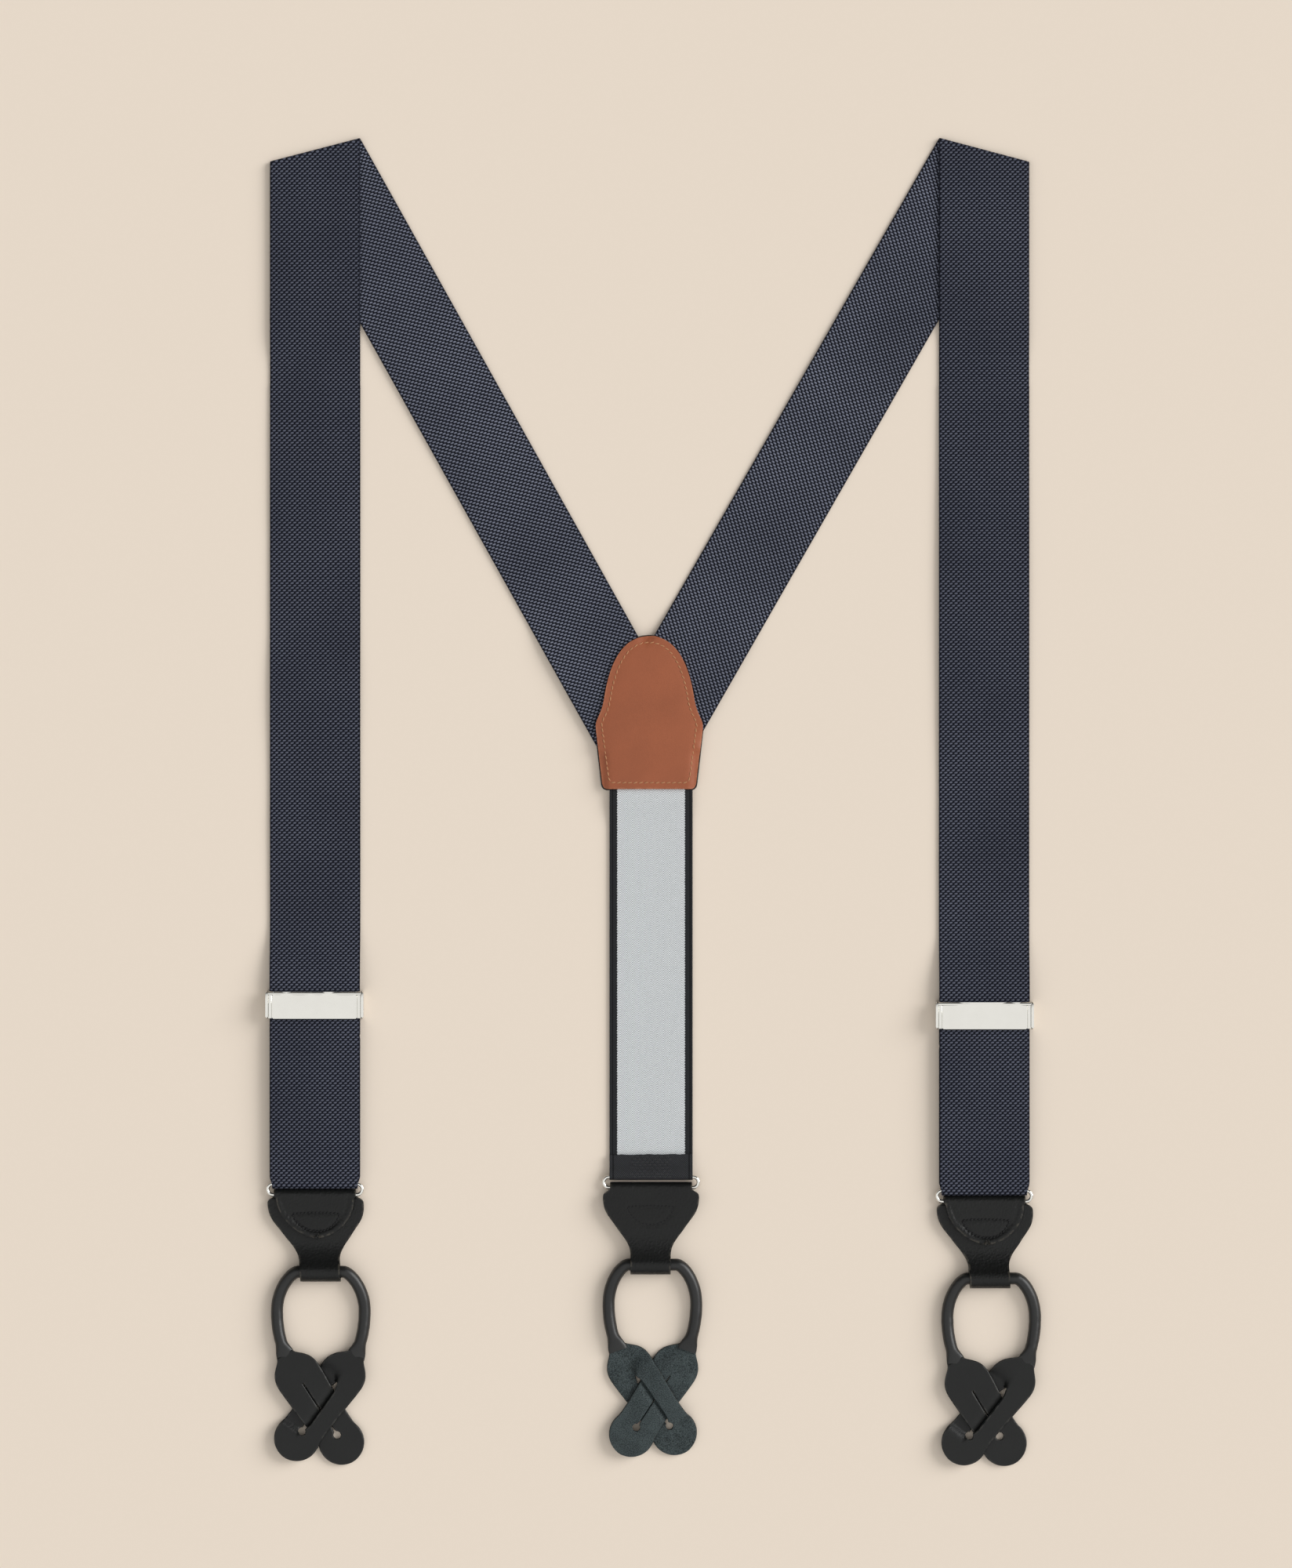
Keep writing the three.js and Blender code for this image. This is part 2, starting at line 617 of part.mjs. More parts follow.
// Straight through the neck, out and down on both sides, and in again to the roots of the two tabs.
function loopCurve(end) {
  const half = (loopWidth - cordDia) / 2;
  const straight = neckWidth / 2 + 0.7 + Math.abs(end.loopSlide);
  const droop = cordDia / 2 - neckZ;
  const rootRise = end.faceDown ? droop : tabStep + tabThick / 2 - neckZ;
  const rootX = half - loopRootIn;
  const mid = -loopDrop / 2;
  const curve = new THREE.CurvePath();
  const point = (x, y, z) => new THREE.Vector3(x, y, z);
  const side = (s) => [
    [point(s * straight, 0, 0), point(s * (straight + 5.4), 0, 0), point(s * half, mid + 8.6, droop * 0.9)],
    [point(s * half, mid, droop), point(s * half, mid - 7, droop), point(s * (rootX + 1.7), 4.6 - loopDrop, rootRise)],
    point(s * rootX, -loopDrop, rootRise),
  ];
  const [upL, downL, endL] = side(-1);
  const [upR, downR, endR] = side(1);
  curve.add(new THREE.CubicBezierCurve3(endL, downL[2], downL[1], downL[0]));
  curve.add(new THREE.CubicBezierCurve3(downL[0], upL[2], upL[1], upL[0]));
  curve.add(new THREE.LineCurve3(upL[0], upR[0]));
  curve.add(new THREE.CubicBezierCurve3(upR[0], upR[1], upR[2], downR[0]));
  curve.add(new THREE.CubicBezierCurve3(downR[0], downR[1], downR[2], endR));
  return curve;
}

function circleShape(radius, sides) {
  const points = [];
  for (let i = 0; i < sides; i++) {
    const angle = (i * 2 * Math.PI) / sides;
    points.push(vec(radius * Math.cos(angle), radius * Math.sin(angle)));
  }
  return points;
}

function sweep(end, shape) {
  const options = { steps: 26, bevelEnabled: false, extrudePath: loopCurve(end) };
  return new THREE.ExtrudeGeometry(shape, options);
}

function makeLoopLeather(end) {
  const shape = new THREE.Shape(circleShape(cordDia / 2, 8));
  shape.holes.push(new THREE.Path(circleShape(coreDia / 2 + layGap, 6).reverse()));
  return sweep(end, shape);
}

function makeLoopCore(end) {
  return sweep(end, new THREE.Shape(circleShape(coreDia / 2, 6)));
}

// ---- buttonhole tabs ----
// Both tabs lie across each other. Tab B's slit lets tab A through: A comes over B's first strand and goes
// under its second one.
const tabRootX = (loopWidth - cordDia) / 2 - loopRootIn;
const tabRootY = -loopDrop - tabRootGap;
function layTab(rootX, disc) {
  const tab = { root: vec(rootX, tabRootY), disc: vec(...disc) };
  tab.length = tab.root.distanceTo(tab.disc);
  tab.turn = Math.atan2(tab.disc.y - tab.root.y, tab.disc.x - tab.root.x);
  return tab;
}

// A tab seen square on, running along +x from its root to the middle of its disc.
function tabShape(tab) {
  const half = tabWidth / 2;
  const disc = tabDiscDia / 2;
  const rootHalf = cordDia / 2 + 1;
  const meet = (70 * Math.PI) / 180; // where the waist runs into the disc, back from its far side
  const meetX = tab.length - disc * Math.cos(meet);
  const meetY = disc * Math.sin(meet);
  const shape = new THREE.Shape();
  shape.moveTo(0, -rootHalf);
  shape.bezierCurveTo(2.5, -rootHalf, 4, -half, 11, -half);
  shape.bezierCurveTo(18, -half, meetX - 6, -meetY + 1, meetX, -meetY);
  shape.absarc(tab.length, 0, disc, meet - Math.PI, Math.PI - meet, false);
  shape.bezierCurveTo(meetX - 6, meetY - 1, 18, half, 11, half);
  shape.bezierCurveTo(4, half, 2.5, rootHalf, 0, rootHalf);
  shape.closePath();
  const holeX = tab.length - holeSetback;
  const slit = new THREE.Path();
  const gap = slitWidth / 2;
  const open = Math.acos(gap / (holeDia / 2));
  slit.moveTo(slitStart, -gap);
  slit.lineTo(slitStart, gap);
  slit.lineTo(holeX - (holeDia / 2) * Math.sin(open), gap);
  slit.absarc(holeX, 0, holeDia / 2, Math.PI / 2 + open, -Math.PI / 2 - open, true);
  slit.closePath();
  shape.holes.push(slit);
  return shape;
}

function placeTab(geometry, tab) {
  return geometry.rotateZ(tab.turn).translate(tab.root.x, tab.root.y, 0);
}

// A flat layer that steps up or down along its own x, given as [x, z] corners of its underside.
function steppedLayer(corners, thickness, low, high) {
  const under = corners.map(([x, z]) => vec(x, z));
  const over = corners.map(([x, z]) => vec(x, z + thickness)).reverse();
  const shape = new THREE.Shape([...under, ...over]);
  const options = { depth: high - low, bevelEnabled: false };
  const turn = new THREE.Matrix4().makeBasis(
    new THREE.Vector3(1, 0, 0),
    new THREE.Vector3(0, 0, 1),
    new THREE.Vector3(0, -1, 0),
  );
  return new THREE.ExtrudeGeometry(shape, options).applyMatrix4(turn).translate(0, high, 0);
}

// Tab A steps down inside tab B's slit, so its step runs along B's direction.
function makeTabA({ a, b }, offset, thickness) {
  const trim = toSolid(placeTab(planBlock(tabShape(a), -2, 20, 5), a));
  const gap = slitWidth / 2;
  const layer = steppedLayer(
    [
      [-100, offset],
      [-gap, offset],
      [gap, offset + tabStep],
      [100, offset + tabStep],
    ],
    thickness,
    -120,
    120,
  );
  layer.rotateZ(b.turn + Math.PI / 2 + Math.PI).translate(b.root.x, b.root.y, 0);
  return toSolid(layer).intersect(trim);
}

// Tab B lies high, apart from its first strand, which dips under tab A.
function makeTabB({ a, b }, offset, thickness) {
  const trim = toSolid(placeTab(planBlock(tabShape(b), -2, 20, 5), b));
  const angle = Math.abs(a.turn - b.turn);
  const crossing = crossingAlongB(a, b);
  const halfReach = tabWidth / 2 / Math.sin(angle);
  const lean = tabWidth / 2 / Math.tan(angle);
  const first = crossing - halfReach - Math.abs(lean) - 0.5;
  const last = crossing + halfReach + 0.5;
  const high = offset + tabStep;
  const dipped = steppedLayer(
    [
      [-5, high],
      [first - 4, high],
      [first, offset],
      [last, offset],
      [last + 3.6, high],
      [90, high],
    ],
    thickness,
    -40,
    0,
  );
  const flat = steppedLayer(
    [
      [-5, high],
      [90, high],
    ],
    thickness,
    0,
    40,
  );
  const both = toGeometry(toSolid(dipped).add(toSolid(flat)));
  return toSolid(placeTab(both, b)).intersect(trim);
}

// How far along tab B the centre line of tab A crosses it.
function crossingAlongB(a, b) {
  const alongA = a.disc.clone().sub(a.root).normalize();
  const alongB = b.disc.clone().sub(b.root).normalize();
  const between = b.root.clone().sub(a.root);
  return between.cross(alongA) / alongA.cross(alongB);
}

function tabGeometry(solid, end) {
  const geometry = toGeometry(solid);
  if (end.faceDown) {
    geometry.rotateY(Math.PI).translate(0, 0, tabStep + tabThick);
  }
  return geometry;
}

function makeLoopGroup(end) {
  const group = new THREE.Group();
  group.position.set(end.x + end.lean + end.loopSlide, end.ringY + neckY, 0);
  const leather = named(`${end.name}_rolled_loop`, makeLoopLeather(end), materials.smoothLeather);
  const core = named(`${end.name}_loop_core`, makeLoopCore(end), materials.core);
  leather.position.z = neckZ;
  core.position.z = neckZ;
  group.add(leather, core);
  const tabs = { a: layTab(-tabRootX, end.discs.a), b: layTab(tabRootX, end.discs.b) };
  const leatherLift = tabLiningThick + layGap;
  const layers = [
    ["tab", leatherLift, tabLeatherThick, materials.smoothLeather],
    ["tab_lining", 0, tabLiningThick, materials.tabLining],
  ];
  for (const [part, offset, thickness, look] of layers) {
    const solids = { a: makeTabA(tabs, offset, thickness), b: makeTabB(tabs, offset, thickness) };
    for (const [letter, solid] of Object.entries(solids)) {
      group.add(named(`${end.name}_${part}_${letter}`, tabGeometry(solid, end), look));
    }
  }
  return group;
}

// ---- adjuster ----
// Stamped frame: a plate that the strap's end turns round, between two side ears that carry the pin.
function earOutline() {
  const half = clipHeight / 2;
  const top = pinZ + 0.8;
  const shape = new THREE.Shape();
  shape.moveTo(-half + 0.4, 0.4);
  shape.lineTo(half - 0.4, 0.4);
  shape.lineTo(half, 0.8);
  shape.lineTo(half, top - 0.8);
  shape.lineTo(half - 0.8, top);
  shape.lineTo(half - 2.4, top);
  shape.lineTo(1 - half, coverZ + 0.3);
  shape.lineTo(-half, coverZ - 0.5);
  shape.lineTo(-half, 0.8);
  shape.closePath();
  return shape;
}

function makeClipFrame() {
  const outer = clipWidth / 2;
  const plateY = (plateTopY + plateBottomY) / 2;
  const plate = box(0, plateY, plateZ + plateThick / 2, clipWidth - 0.2, plateTopY - plateBottomY, plateThick);
  const hole = toSolid(rodAlongX(pinDia / 2 + runGap, -outer - 1, outer + 1, pinY, pinZ));
  const left = toSolid(sideBlock(earOutline(), -outer, clipSheet - outer));
  const right = toSolid(sideBlock(earOutline(), outer - clipSheet, outer));
  return toGeometry(toSolid(plate).add(left).add(right).subtract(hole));
}

// Lever: a polished face with a lower wing on each side, a barrel round the pin, and a row of teeth below.
function makeClipCover() {
  const bottom = -clipHeight / 2;
  const face = coverWidth / 2;
  const wing = clipWidth / 2 - clipSheet - layGap - 0.1;
  const top = coverZ + coverThick;
  const half = [
    vec(wing, coverZ),
    vec(wing, top - 0.45),
    vec(wing - 0.3, top - 0.25),
    vec(face + 0.5, top - 0.25),
    vec(face + 0.4, top - 0.6),
    vec(face, top - 0.6),
    vec(face, top - 0.2),
    vec(face - 0.3, top),
  ];
  const options = { depth: pinY - bottom, bevelEnabled: false };
  const plate = new THREE.ExtrudeGeometry(mirrored(half), options).rotateX(Math.PI / 2).translate(0, pinY, 0);
  const barrel = rodAlongX(barrelRadius, -wing, wing, pinY, pinZ, 12);
  const bore = toSolid(rodAlongX(pinDia / 2 + runGap, -wing - 1, wing + 1, pinY, pinZ));
  let cover = toSolid(plate).add(toSolid(barrel));
  const pitch = (strapWidth - toothMargin) / toothCount;
  for (let i = 0; i < toothCount; i++) {
    const tooth = new THREE.ConeGeometry(toothBase, toothHeight + 2 * layGap, 4).rotateX(-Math.PI / 2);
    const x = (i - (toothCount - 1) / 2) * pitch;
    tooth.translate(x, pinY - toothSetback, coverZ + layGap - toothHeight / 2);
    cover = cover.add(toSolid(tooth));
  }
  return toGeometry(cover.subtract(bore));
}

function makeClipPin() {
  return rodAlongX(pinDia / 2, 0.2 - clipWidth / 2, clipWidth / 2 - 0.2, pinY, pinZ);
}

function makeClipGroup(end) {
  const group = new THREE.Group();
  group.position.set(end.x, end.clipY, 0);
  group.add(named(`${end.name}_adjuster_frame`, makeClipFrame(), materials.nickel));
  group.add(named(`${end.name}_adjuster_lever`, makeClipCover(), materials.nickel));
  group.add(named(`${end.name}_adjuster_pin`, makeClipPin(), materials.nickel));
  return group;
}

// ---- the whole ----
const suspenders = new THREE.Group();

function addPatch() {
  const liningZ = patchLayerZ + strapThick + layGap;
  const outer = planBlock(patchOutline(0), 0, outerPatchThick, 5);
  const lining = planBlock(patchOutline(0.5), liningZ, liningZ + liningThick, 5);
  suspenders.add(named("back_patch_outer", outer, materials.blackLeather));
  suspenders.add(named("back_patch_lining", lining, materials.tanLeather));
  const seam = makePatchSeam(liningZ + liningThick + layGap);
  suspenders.add(named("back_patch_seam", seam, materials.tanThread));
}

function addStrap(end) {
  suspenders.add(named(`${end.name}_shoulder_strap`, makeShoulderRun(end), materials.webbing));
  suspenders.add(named(`${end.name}_strap_run`, makeFrontRun(end), materials.webbing));
  suspenders.add(named(`${end.name}_strap_loop`, makeLowerLoop(end), materials.webbing));
  suspenders.add(named(`${end.name}_strap_sewn_end`, makeSewnEnd(end), materials.webbing));
  suspenders.add(named(`${end.name}_strap_seam`, makeEndSeam(end), materials.blackThread));
  suspenders.add(makeClipGroup(end));
}

function addElastic(end) {
  suspenders.add(named("back_elastic", makeElasticWeb(end), materials.elastic));
  suspenders.add(named("back_elastic_turned_end", makeElasticEnd(end), materials.elasticEdge));
  suspenders.add(named("back_elastic_bar_tack", makeBarTack(end), materials.blackThread));
}

function addEnd(end) {
  suspenders.add(named(`${end.name}_ring`, makeRing(end), materials.nickel));
  suspenders.add(named(`${end.name}_carrier`, makeCarrier(end), materials.blackLeather));
  suspenders.add(named(`${end.name}_carrier_seam`, makeCarrierSeam(end), materials.blackThread));
  suspenders.add(makeLoopGroup(end));
}

addPatch();
for (const end of ends) {
  if (end.faceDown) addElastic(end);
  else addStrap(end);
  addEnd(end);
}

export default suspenders;
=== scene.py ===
import math
import random

import bpy
import numpy as np
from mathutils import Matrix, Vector, noise


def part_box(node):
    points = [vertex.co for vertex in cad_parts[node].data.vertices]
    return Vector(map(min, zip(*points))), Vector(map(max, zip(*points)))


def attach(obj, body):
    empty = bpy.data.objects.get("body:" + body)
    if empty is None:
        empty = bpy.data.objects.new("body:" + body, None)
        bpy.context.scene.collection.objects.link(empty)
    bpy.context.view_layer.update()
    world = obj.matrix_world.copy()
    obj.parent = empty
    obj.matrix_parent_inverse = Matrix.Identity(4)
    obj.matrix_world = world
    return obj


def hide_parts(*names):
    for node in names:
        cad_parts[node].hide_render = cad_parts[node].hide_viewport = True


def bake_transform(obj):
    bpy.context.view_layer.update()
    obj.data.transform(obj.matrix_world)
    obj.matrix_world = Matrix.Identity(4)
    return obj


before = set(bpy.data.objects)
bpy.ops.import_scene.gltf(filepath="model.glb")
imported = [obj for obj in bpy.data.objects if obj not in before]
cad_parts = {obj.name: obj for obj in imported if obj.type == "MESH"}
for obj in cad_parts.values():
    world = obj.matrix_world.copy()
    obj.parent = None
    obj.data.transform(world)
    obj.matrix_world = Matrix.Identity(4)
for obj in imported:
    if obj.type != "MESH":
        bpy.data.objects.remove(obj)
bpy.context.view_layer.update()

mm = 0.001
dice = random.Random(7)

# sizes that several pieces share, in millimetres
stock = {
    "webbingWidth": 38.0,
    "webbingThick": 1.2,
    "elasticWidth": 35.0,
    "elasticThick": 1.2,
    "leatherThick": 1.5,
    "wireDia": 1.5,
    "cordDia": 5.1,
    "layGap": 0.15,
    "cutGap": 0.3,
}

# the three buttoned ends; lean is how far the carrier's neck hangs to the side of the ring's middle,
# slide how far the rolled loop has run through the neck, discs where the two tabs end, from the neck
ends = [
    {"node": "front_left", "body": "left", "faceDown": False, "lean": 2.3, "slide": 0.2,
     "discs": {"a": (8.6, -71.9), "b": (-10.0, -70.1)}},
    {"node": "front_right", "body": "right", "faceDown": False, "lean": 2.1, "slide": 0.8,
     "discs": {"a": (5.4, -69.6), "b": (-11.4, -69.1)}},
    {"node": "back", "body": "back", "faceDown": True, "lean": -0.2, "slide": 0.8,
     "discs": {"a": (8.7, -71.4), "b": (-9.1, -70.9)}},
]


def nodeBox(name):
    low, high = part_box(name)
    return low / mm, high / mm


for end in ends:
    low, high = nodeBox(end["node"] + "_ring")
    end["ring"] = (low + high) / 2
    end["wireHalfGap"] = (high.y - low.y - stock["wireDia"]) / 2
    end["ringHalfWidth"] = (high.x - low.x) / 2
    if not end["faceDown"]:
        low, high = nodeBox(end["node"] + "_adjuster_frame")
        end["clip"] = (low + high) / 2
        end["clipSize"] = high - low


# ---------- camera, light and floor ----------
studio = {
    "viewMiddle": (-1.32, -30.07),   # mm, under the middle of the picture
    "viewHeight": 660.8,             # mm of floor from the top of the picture to the bottom
    "cameraHeight": 2400.0,
    "keyElevation": 30,
    "keyTurn": 22,                   # degrees from +X towards +Y
    "keyAngle": 38,
    "keyPower": 2.06,
    "skyPower": 0.92,
    "floorColour": (0.85, 0.745, 0.632),
    "darkSide": (0.20, 0.45),        # between these slopes towards +Y the room is dark
}


def makeCamera():
    bpy.ops.object.select_all(action="DESELECT")
    middle = studio["viewMiddle"]
    place = (middle[0] * mm, middle[1] * mm, studio["cameraHeight"] * mm)
    bpy.ops.object.camera_add(location=place, rotation=(0, 0, 0))
    camera = bpy.context.active_object
    camera.name = "camera"
    camera.data.sensor_fit = "VERTICAL"
    camera.data.sensor_height = 24
    camera.data.lens = 24 * studio["cameraHeight"] / studio["viewHeight"]
    camera.data.clip_end = 20
    bpy.context.scene.camera = camera


# ---------- shader nodes ----------
class Wire:
    # one output socket; sums and products with it add Math nodes
    def __init__(self, tree, socket):
        self.tree = tree
        self.socket = socket

    def math(self, operation, first, second=None):
        node = self.tree.nodes.new("ShaderNodeMath")
        node.operation = operation
        for slot, value in zip(node.inputs, (first, second)):
            join(self.tree, slot, value)
        return Wire(self.tree, node.outputs[0])

    def __add__(self, other):
        return self.math("ADD", self, other)

    def __radd__(self, other):
        return self.math("ADD", other, self)

    def __sub__(self, other):
        return self.math("SUBTRACT", self, other)

    def __rsub__(self, other):
        return self.math("SUBTRACT", other, self)

    def __mul__(self, other):
        return self.math("MULTIPLY", self, other)

    def __rmul__(self, other):
        return self.math("MULTIPLY", other, self)

    def __truediv__(self, other):
        return self.math("DIVIDE", self, other)

    def __abs__(self):
        return self.math("ABSOLUTE", self)

    def floor(self):
        return self.math("FLOOR", self)

    def fract(self):
        return self.math("FRACT", self)

    def root(self):
        return self.math("SQRT", self)


def join(tree, slot, value):
    if isinstance(value, Wire):
        tree.links.new(value.socket, slot)
    elif value is not None:
        slot.default_value = value


class Finish:
    # one material; add() makes any node, its settings first and then its sockets
    def __init__(self, name, **fixed):
        self.material = bpy.data.materials.new(name)
        self.material.use_nodes = True
        self.tree = self.material.node_tree
        self.shader = self.tree.nodes["Principled BSDF"]
        for socket, value in fixed.items():
            self.shader.inputs[socket.replace("_", " ")].default_value = value

    def add(self, kind, settings=None, values=None, out=0):
        node = self.tree.nodes.new(kind)
        for key, value in (settings or {}).items():
            if key == "stops":
                ramp = node.color_ramp
                while len(ramp.elements) < len(value):
                    ramp.elements.new(0.5)
                for element, (place, colour) in zip(ramp.elements, value):
                    element.position = place
                    element.color = (*colour, 1)
            else:
                setattr(node, key, value)
        for key, value in (values or {}).items():
            join(self.tree, node.inputs[key], value)
        return Wire(self.tree, node.outputs[out])

    def split(self, vector):
        node = self.add("ShaderNodeSeparateXYZ", values={0: vector}).socket.node
        return [Wire(self.tree, output) for output in node.outputs]

    def place(self):
        return self.add("ShaderNodeTexCoord", out="Object")

    def cut(self):
        return self.add("ShaderNodeUVMap", {"uv_map": "UVMap"})

    def noise(self, where, scale, detail=3.0, roughness=0.55):
        values = {"Vector": where, "Scale": scale, "Detail": detail, "Roughness": roughness}
        return self.add("ShaderNodeTexNoise", values=values, out="Fac")

    def fade(self, value, low, high, fromOne=False):
        ends = (1.0, 0.0) if fromOne else (0.0, 1.0)
        values = {"Value": value, "From Min": low, "From Max": high, "To Min": ends[0], "To Max": ends[1]}
        return self.add("ShaderNodeMapRange", {"interpolation_type": "SMOOTHSTEP"}, values)

    def mix(self, share, first, second):
        colours = [c if isinstance(c, Wire) else (*c, 1) for c in (first, second)]
        values = {0: share, 6: colours[0], 7: colours[1]}
        return self.add("ShaderNodeMix", {"data_type": "RGBA"}, values, out=2)

    def feed(self, socket, value):
        join(self.tree, self.shader.inputs[socket], value)

    def bump(self, height, distance, strength=1.0, under=None):
        values = {"Height": height, "Distance": distance, "Strength": strength}
        if under is not None:
            values["Normal"] = under
        return self.add("ShaderNodeBump", values=values)


# ---------- cloth finishes ----------
webbingLook = {
    "across": 2.16 * mm,        # from one light float to the next in a row
    "along": 1.02 * mm,         # from row to row, each row half a float over
    "floatLength": 0.78 * mm,   # half of it
    "floatHeight": 0.38 * mm,
    "slant": 0.12,
    "dark": (0.0022, 0.0027, 0.0055),
    "navy": (0.010, 0.0115, 0.021),
    "light": (0.125, 0.136, 0.180),
    "innerLight": (0.205, 0.222, 0.285),
}


def webbingFinish(name, pale):
    look = webbingLook
    finish = Finish(name, Roughness=0.75, Specular_IOR_Level=0.12)
    u, v, _ = finish.split(finish.cut())
    row = (v / look["along"]).floor()
    over = (row * 0.5).fract()
    rowY = ((v / look["along"]).fract() - 0.5) * look["along"]
    wobble = finish.noise(finish.place(), 900.0, 1.0) - 0.5

    def floats(shift):
        x = ((u / look["across"] + over + shift).fract() - 0.5) * look["across"]
        y = rowY + x * look["slant"] + wobble * (0.25 * mm)
        far = x / look["floatLength"]
        up = y / look["floatHeight"]
        return finish.fade((far * far + up * up).root(), 0.55, 1.25, fromOne=True)

    light = floats(0.0)
    hollow = floats(0.5)
    cloud = finish.noise(finish.place(), 22.0, 2.0)
    thread = finish.noise(finish.place(), 1600.0, 2.0)
    ground = finish.mix(hollow, look["navy"], look["dark"])
    edge = finish.fade(abs(u), 18.1 * mm, 18.8 * mm, fromOne=True)
    shade = light * (0.45 + 0.75 * cloud) * (0.70 + 0.6 * thread) * (0.25 + 0.75 * edge)
    finish.feed("Base Color", finish.mix(shade, ground, pale))
    finish.feed("Roughness", 0.82 - light * 0.22)
    height = light - hollow * 0.7 + thread * 0.25
    finish.feed("Normal", finish.bump(height, 0.16 * mm, 0.8))
    return finish.material


elasticLook = {
    "panelHalf": 14.3 * mm,
    "pale": (0.86, 0.89, 0.91),
    "grey": (0.24, 0.25, 0.26),
    "black": (0.010, 0.0105, 0.012),
    # painted highlight on the black twill's ribs
    "blackRibHighlight": (0.045, 0.048, 0.052),
    "twill": 0.95 * mm,
    "herring": 5.2 * mm,
}


# the black twill's ribs: they shape the bump and where the painted highlight goes
def blackTwill(finish, u, v):
    look = elasticLook
    diagonal = ((v + u * 0.9) / (0.62 * mm)).fract() - 0.5
    rib = finish.fade(abs(diagonal), 0.08, 0.42, fromOne=True)
    broken = ((v - u * 1.1) / (0.9 * mm)).fract() - 0.5
    return rib * finish.fade(abs(broken), 0.1, 0.5, fromOne=True)


def elasticFinish():
    look = elasticLook
    finish = Finish("elastic, pale inner side", Roughness=0.8, Specular_IOR_Level=0.15)
    u, v, _ = finish.split(finish.cut())
    zigzag = abs((u / look["herring"]).fract() - 0.5) * look["herring"] * 1.5
    line = ((v + zigzag) / look["twill"]).fract() - 0.5
    rib = finish.fade(abs(line), 0.12, 0.45, fromOne=True)
    grain = finish.noise(finish.place(), 1500.0, 2.0)
    tooth = abs((v / (1.15 * mm)).fract() - 0.5) * (0.75 * mm)
    panel = finish.fade(abs(u) + tooth, look["panelHalf"], look["panelHalf"] + 0.25 * mm, fromOne=True)
    groove = finish.fade(abs(abs(u) - 16.3 * mm), 0.12 * mm, 0.4 * mm, fromOne=True)
    # the black border's ribs are painted lighter as highlights, except along the groove
    black = finish.mix(blackTwill(finish, u, v) * (1 - groove), look["black"], look["blackRibHighlight"])
    pale = finish.mix(rib * (0.65 + 0.7 * grain), look["grey"], look["pale"])
    finish.feed("Base Color", finish.mix(panel, black, pale))
    height = rib * 0.7 + grain * 0.4 - groove * 1.6 + panel * 0.5
    finish.feed("Normal", finish.bump(height, 0.12 * mm, 0.7))
    finish.feed("Roughness", 0.85 - rib * 0.15)
    return finish.material


def elasticFaceFinish():
    look = elasticLook
    finish = Finish("elastic, black face", Roughness=0.75, Specular_IOR_Level=0.15)
    u, v, _ = finish.split(finish.cut())
    rib = blackTwill(finish, u, v)
    grain = finish.noise(finish.place(), 1400.0, 2.0)
    groove = finish.fade(abs(abs(u) - 16.0 * mm), 0.15 * mm, 0.5 * mm, fromOne=True)
    # the ribs are painted lighter as highlights, except along the groove; the paler colour below is that
    # painted highlight
    shade = rib * (0.5 + grain) * (1 - groove)
    finish.feed("Base Color", finish.mix(shade, look["black"], (0.075, 0.078, 0.084)))
    finish.feed("Roughness", 0.8 - rib * 0.2)
    finish.feed("Normal", finish.bump(rib + grain * 0.3 - groove, 0.12 * mm, 0.8))
    return finish.material


# ---------- leather, metal and thread finishes ----------
def leatherFinish(name, colour, rimWearAndHighlight, grainSize, grainDepth, rough, cloudiness=0.35):
    finish = Finish(name, Roughness=rough, Specular_IOR_Level=0.3)
    where = finish.place()
    pebble = finish.add(
        "ShaderNodeTexVoronoi",
        {"feature": "SMOOTH_F1"},
        {"Vector": where, "Scale": 1 / grainSize, "Smoothness": 0.6},
        out="Distance",
    )
    crease = finish.noise(where, 0.6 / grainSize, 4.0)
    cloud = finish.noise(where, 60.0, 3.0)
    pore = finish.noise(where, 3.5 / grainSize, 2.0)
    inset = finish.add("ShaderNodeAttribute", {"attribute_name": "inset"}, out="Fac")
    rim = finish.fade(inset, 0.35 * mm, 0.9 * mm, fromOne=True)
    tone = (cloud - 0.5) * cloudiness + (pore - 0.5) * 0.25
    patchy = finish.fade(tone, -0.35, 0.35)
    deep = tuple(c * 0.62 for c in colour)
    lit = tuple(c * 1.30 for c in colour)
    body = finish.mix(patchy, deep, lit)
    # the cut edges get a paler colour in patches: partly wear, partly a painted highlight along the edges
    rimScuffAndHighlight = rim * finish.fade(finish.noise(where, 420.0, 3.0), 0.42, 0.62)
    finish.feed("Base Color", finish.mix(rimScuffAndHighlight * 0.5, body, rimWearAndHighlight))
    finish.feed("Roughness", rough + (crease - 0.5) * 0.22 - rim * 0.08)
    height = pebble * 0.6 + crease * 0.7 + pore * 0.25
    finish.feed("Normal", finish.bump(height, grainDepth, 0.9))
    return finish.material


def rolledFinish():
    # smooth leather drawn tight round its cord, creased lengthways
    finish = Finish("smooth black leather, rolled", Roughness=0.36, Specular_IOR_Level=0.45)
    where = finish.place()
    u, v, _ = finish.split(finish.cut())
    run = finish.add("ShaderNodeCombineXYZ", values={0: u * 1.0, 1: v * 0.12})
    crease = finish.noise(run, 900.0, 3.0)
    grain = finish.noise(where, 1500.0, 2.0)
    cloud = finish.noise(where, 90.0, 2.0)
    shade = finish.mix(cloud * 0.7 + grain * 0.3, (0.005, 0.0052, 0.0051), (0.017, 0.0175, 0.017))
    finish.feed("Base Color", shade)
    finish.feed("Roughness", 0.30 + crease * 0.16)
    finish.feed("Normal", finish.bump(crease + grain * 0.3, 0.08 * mm, 0.7))
    return finish.material


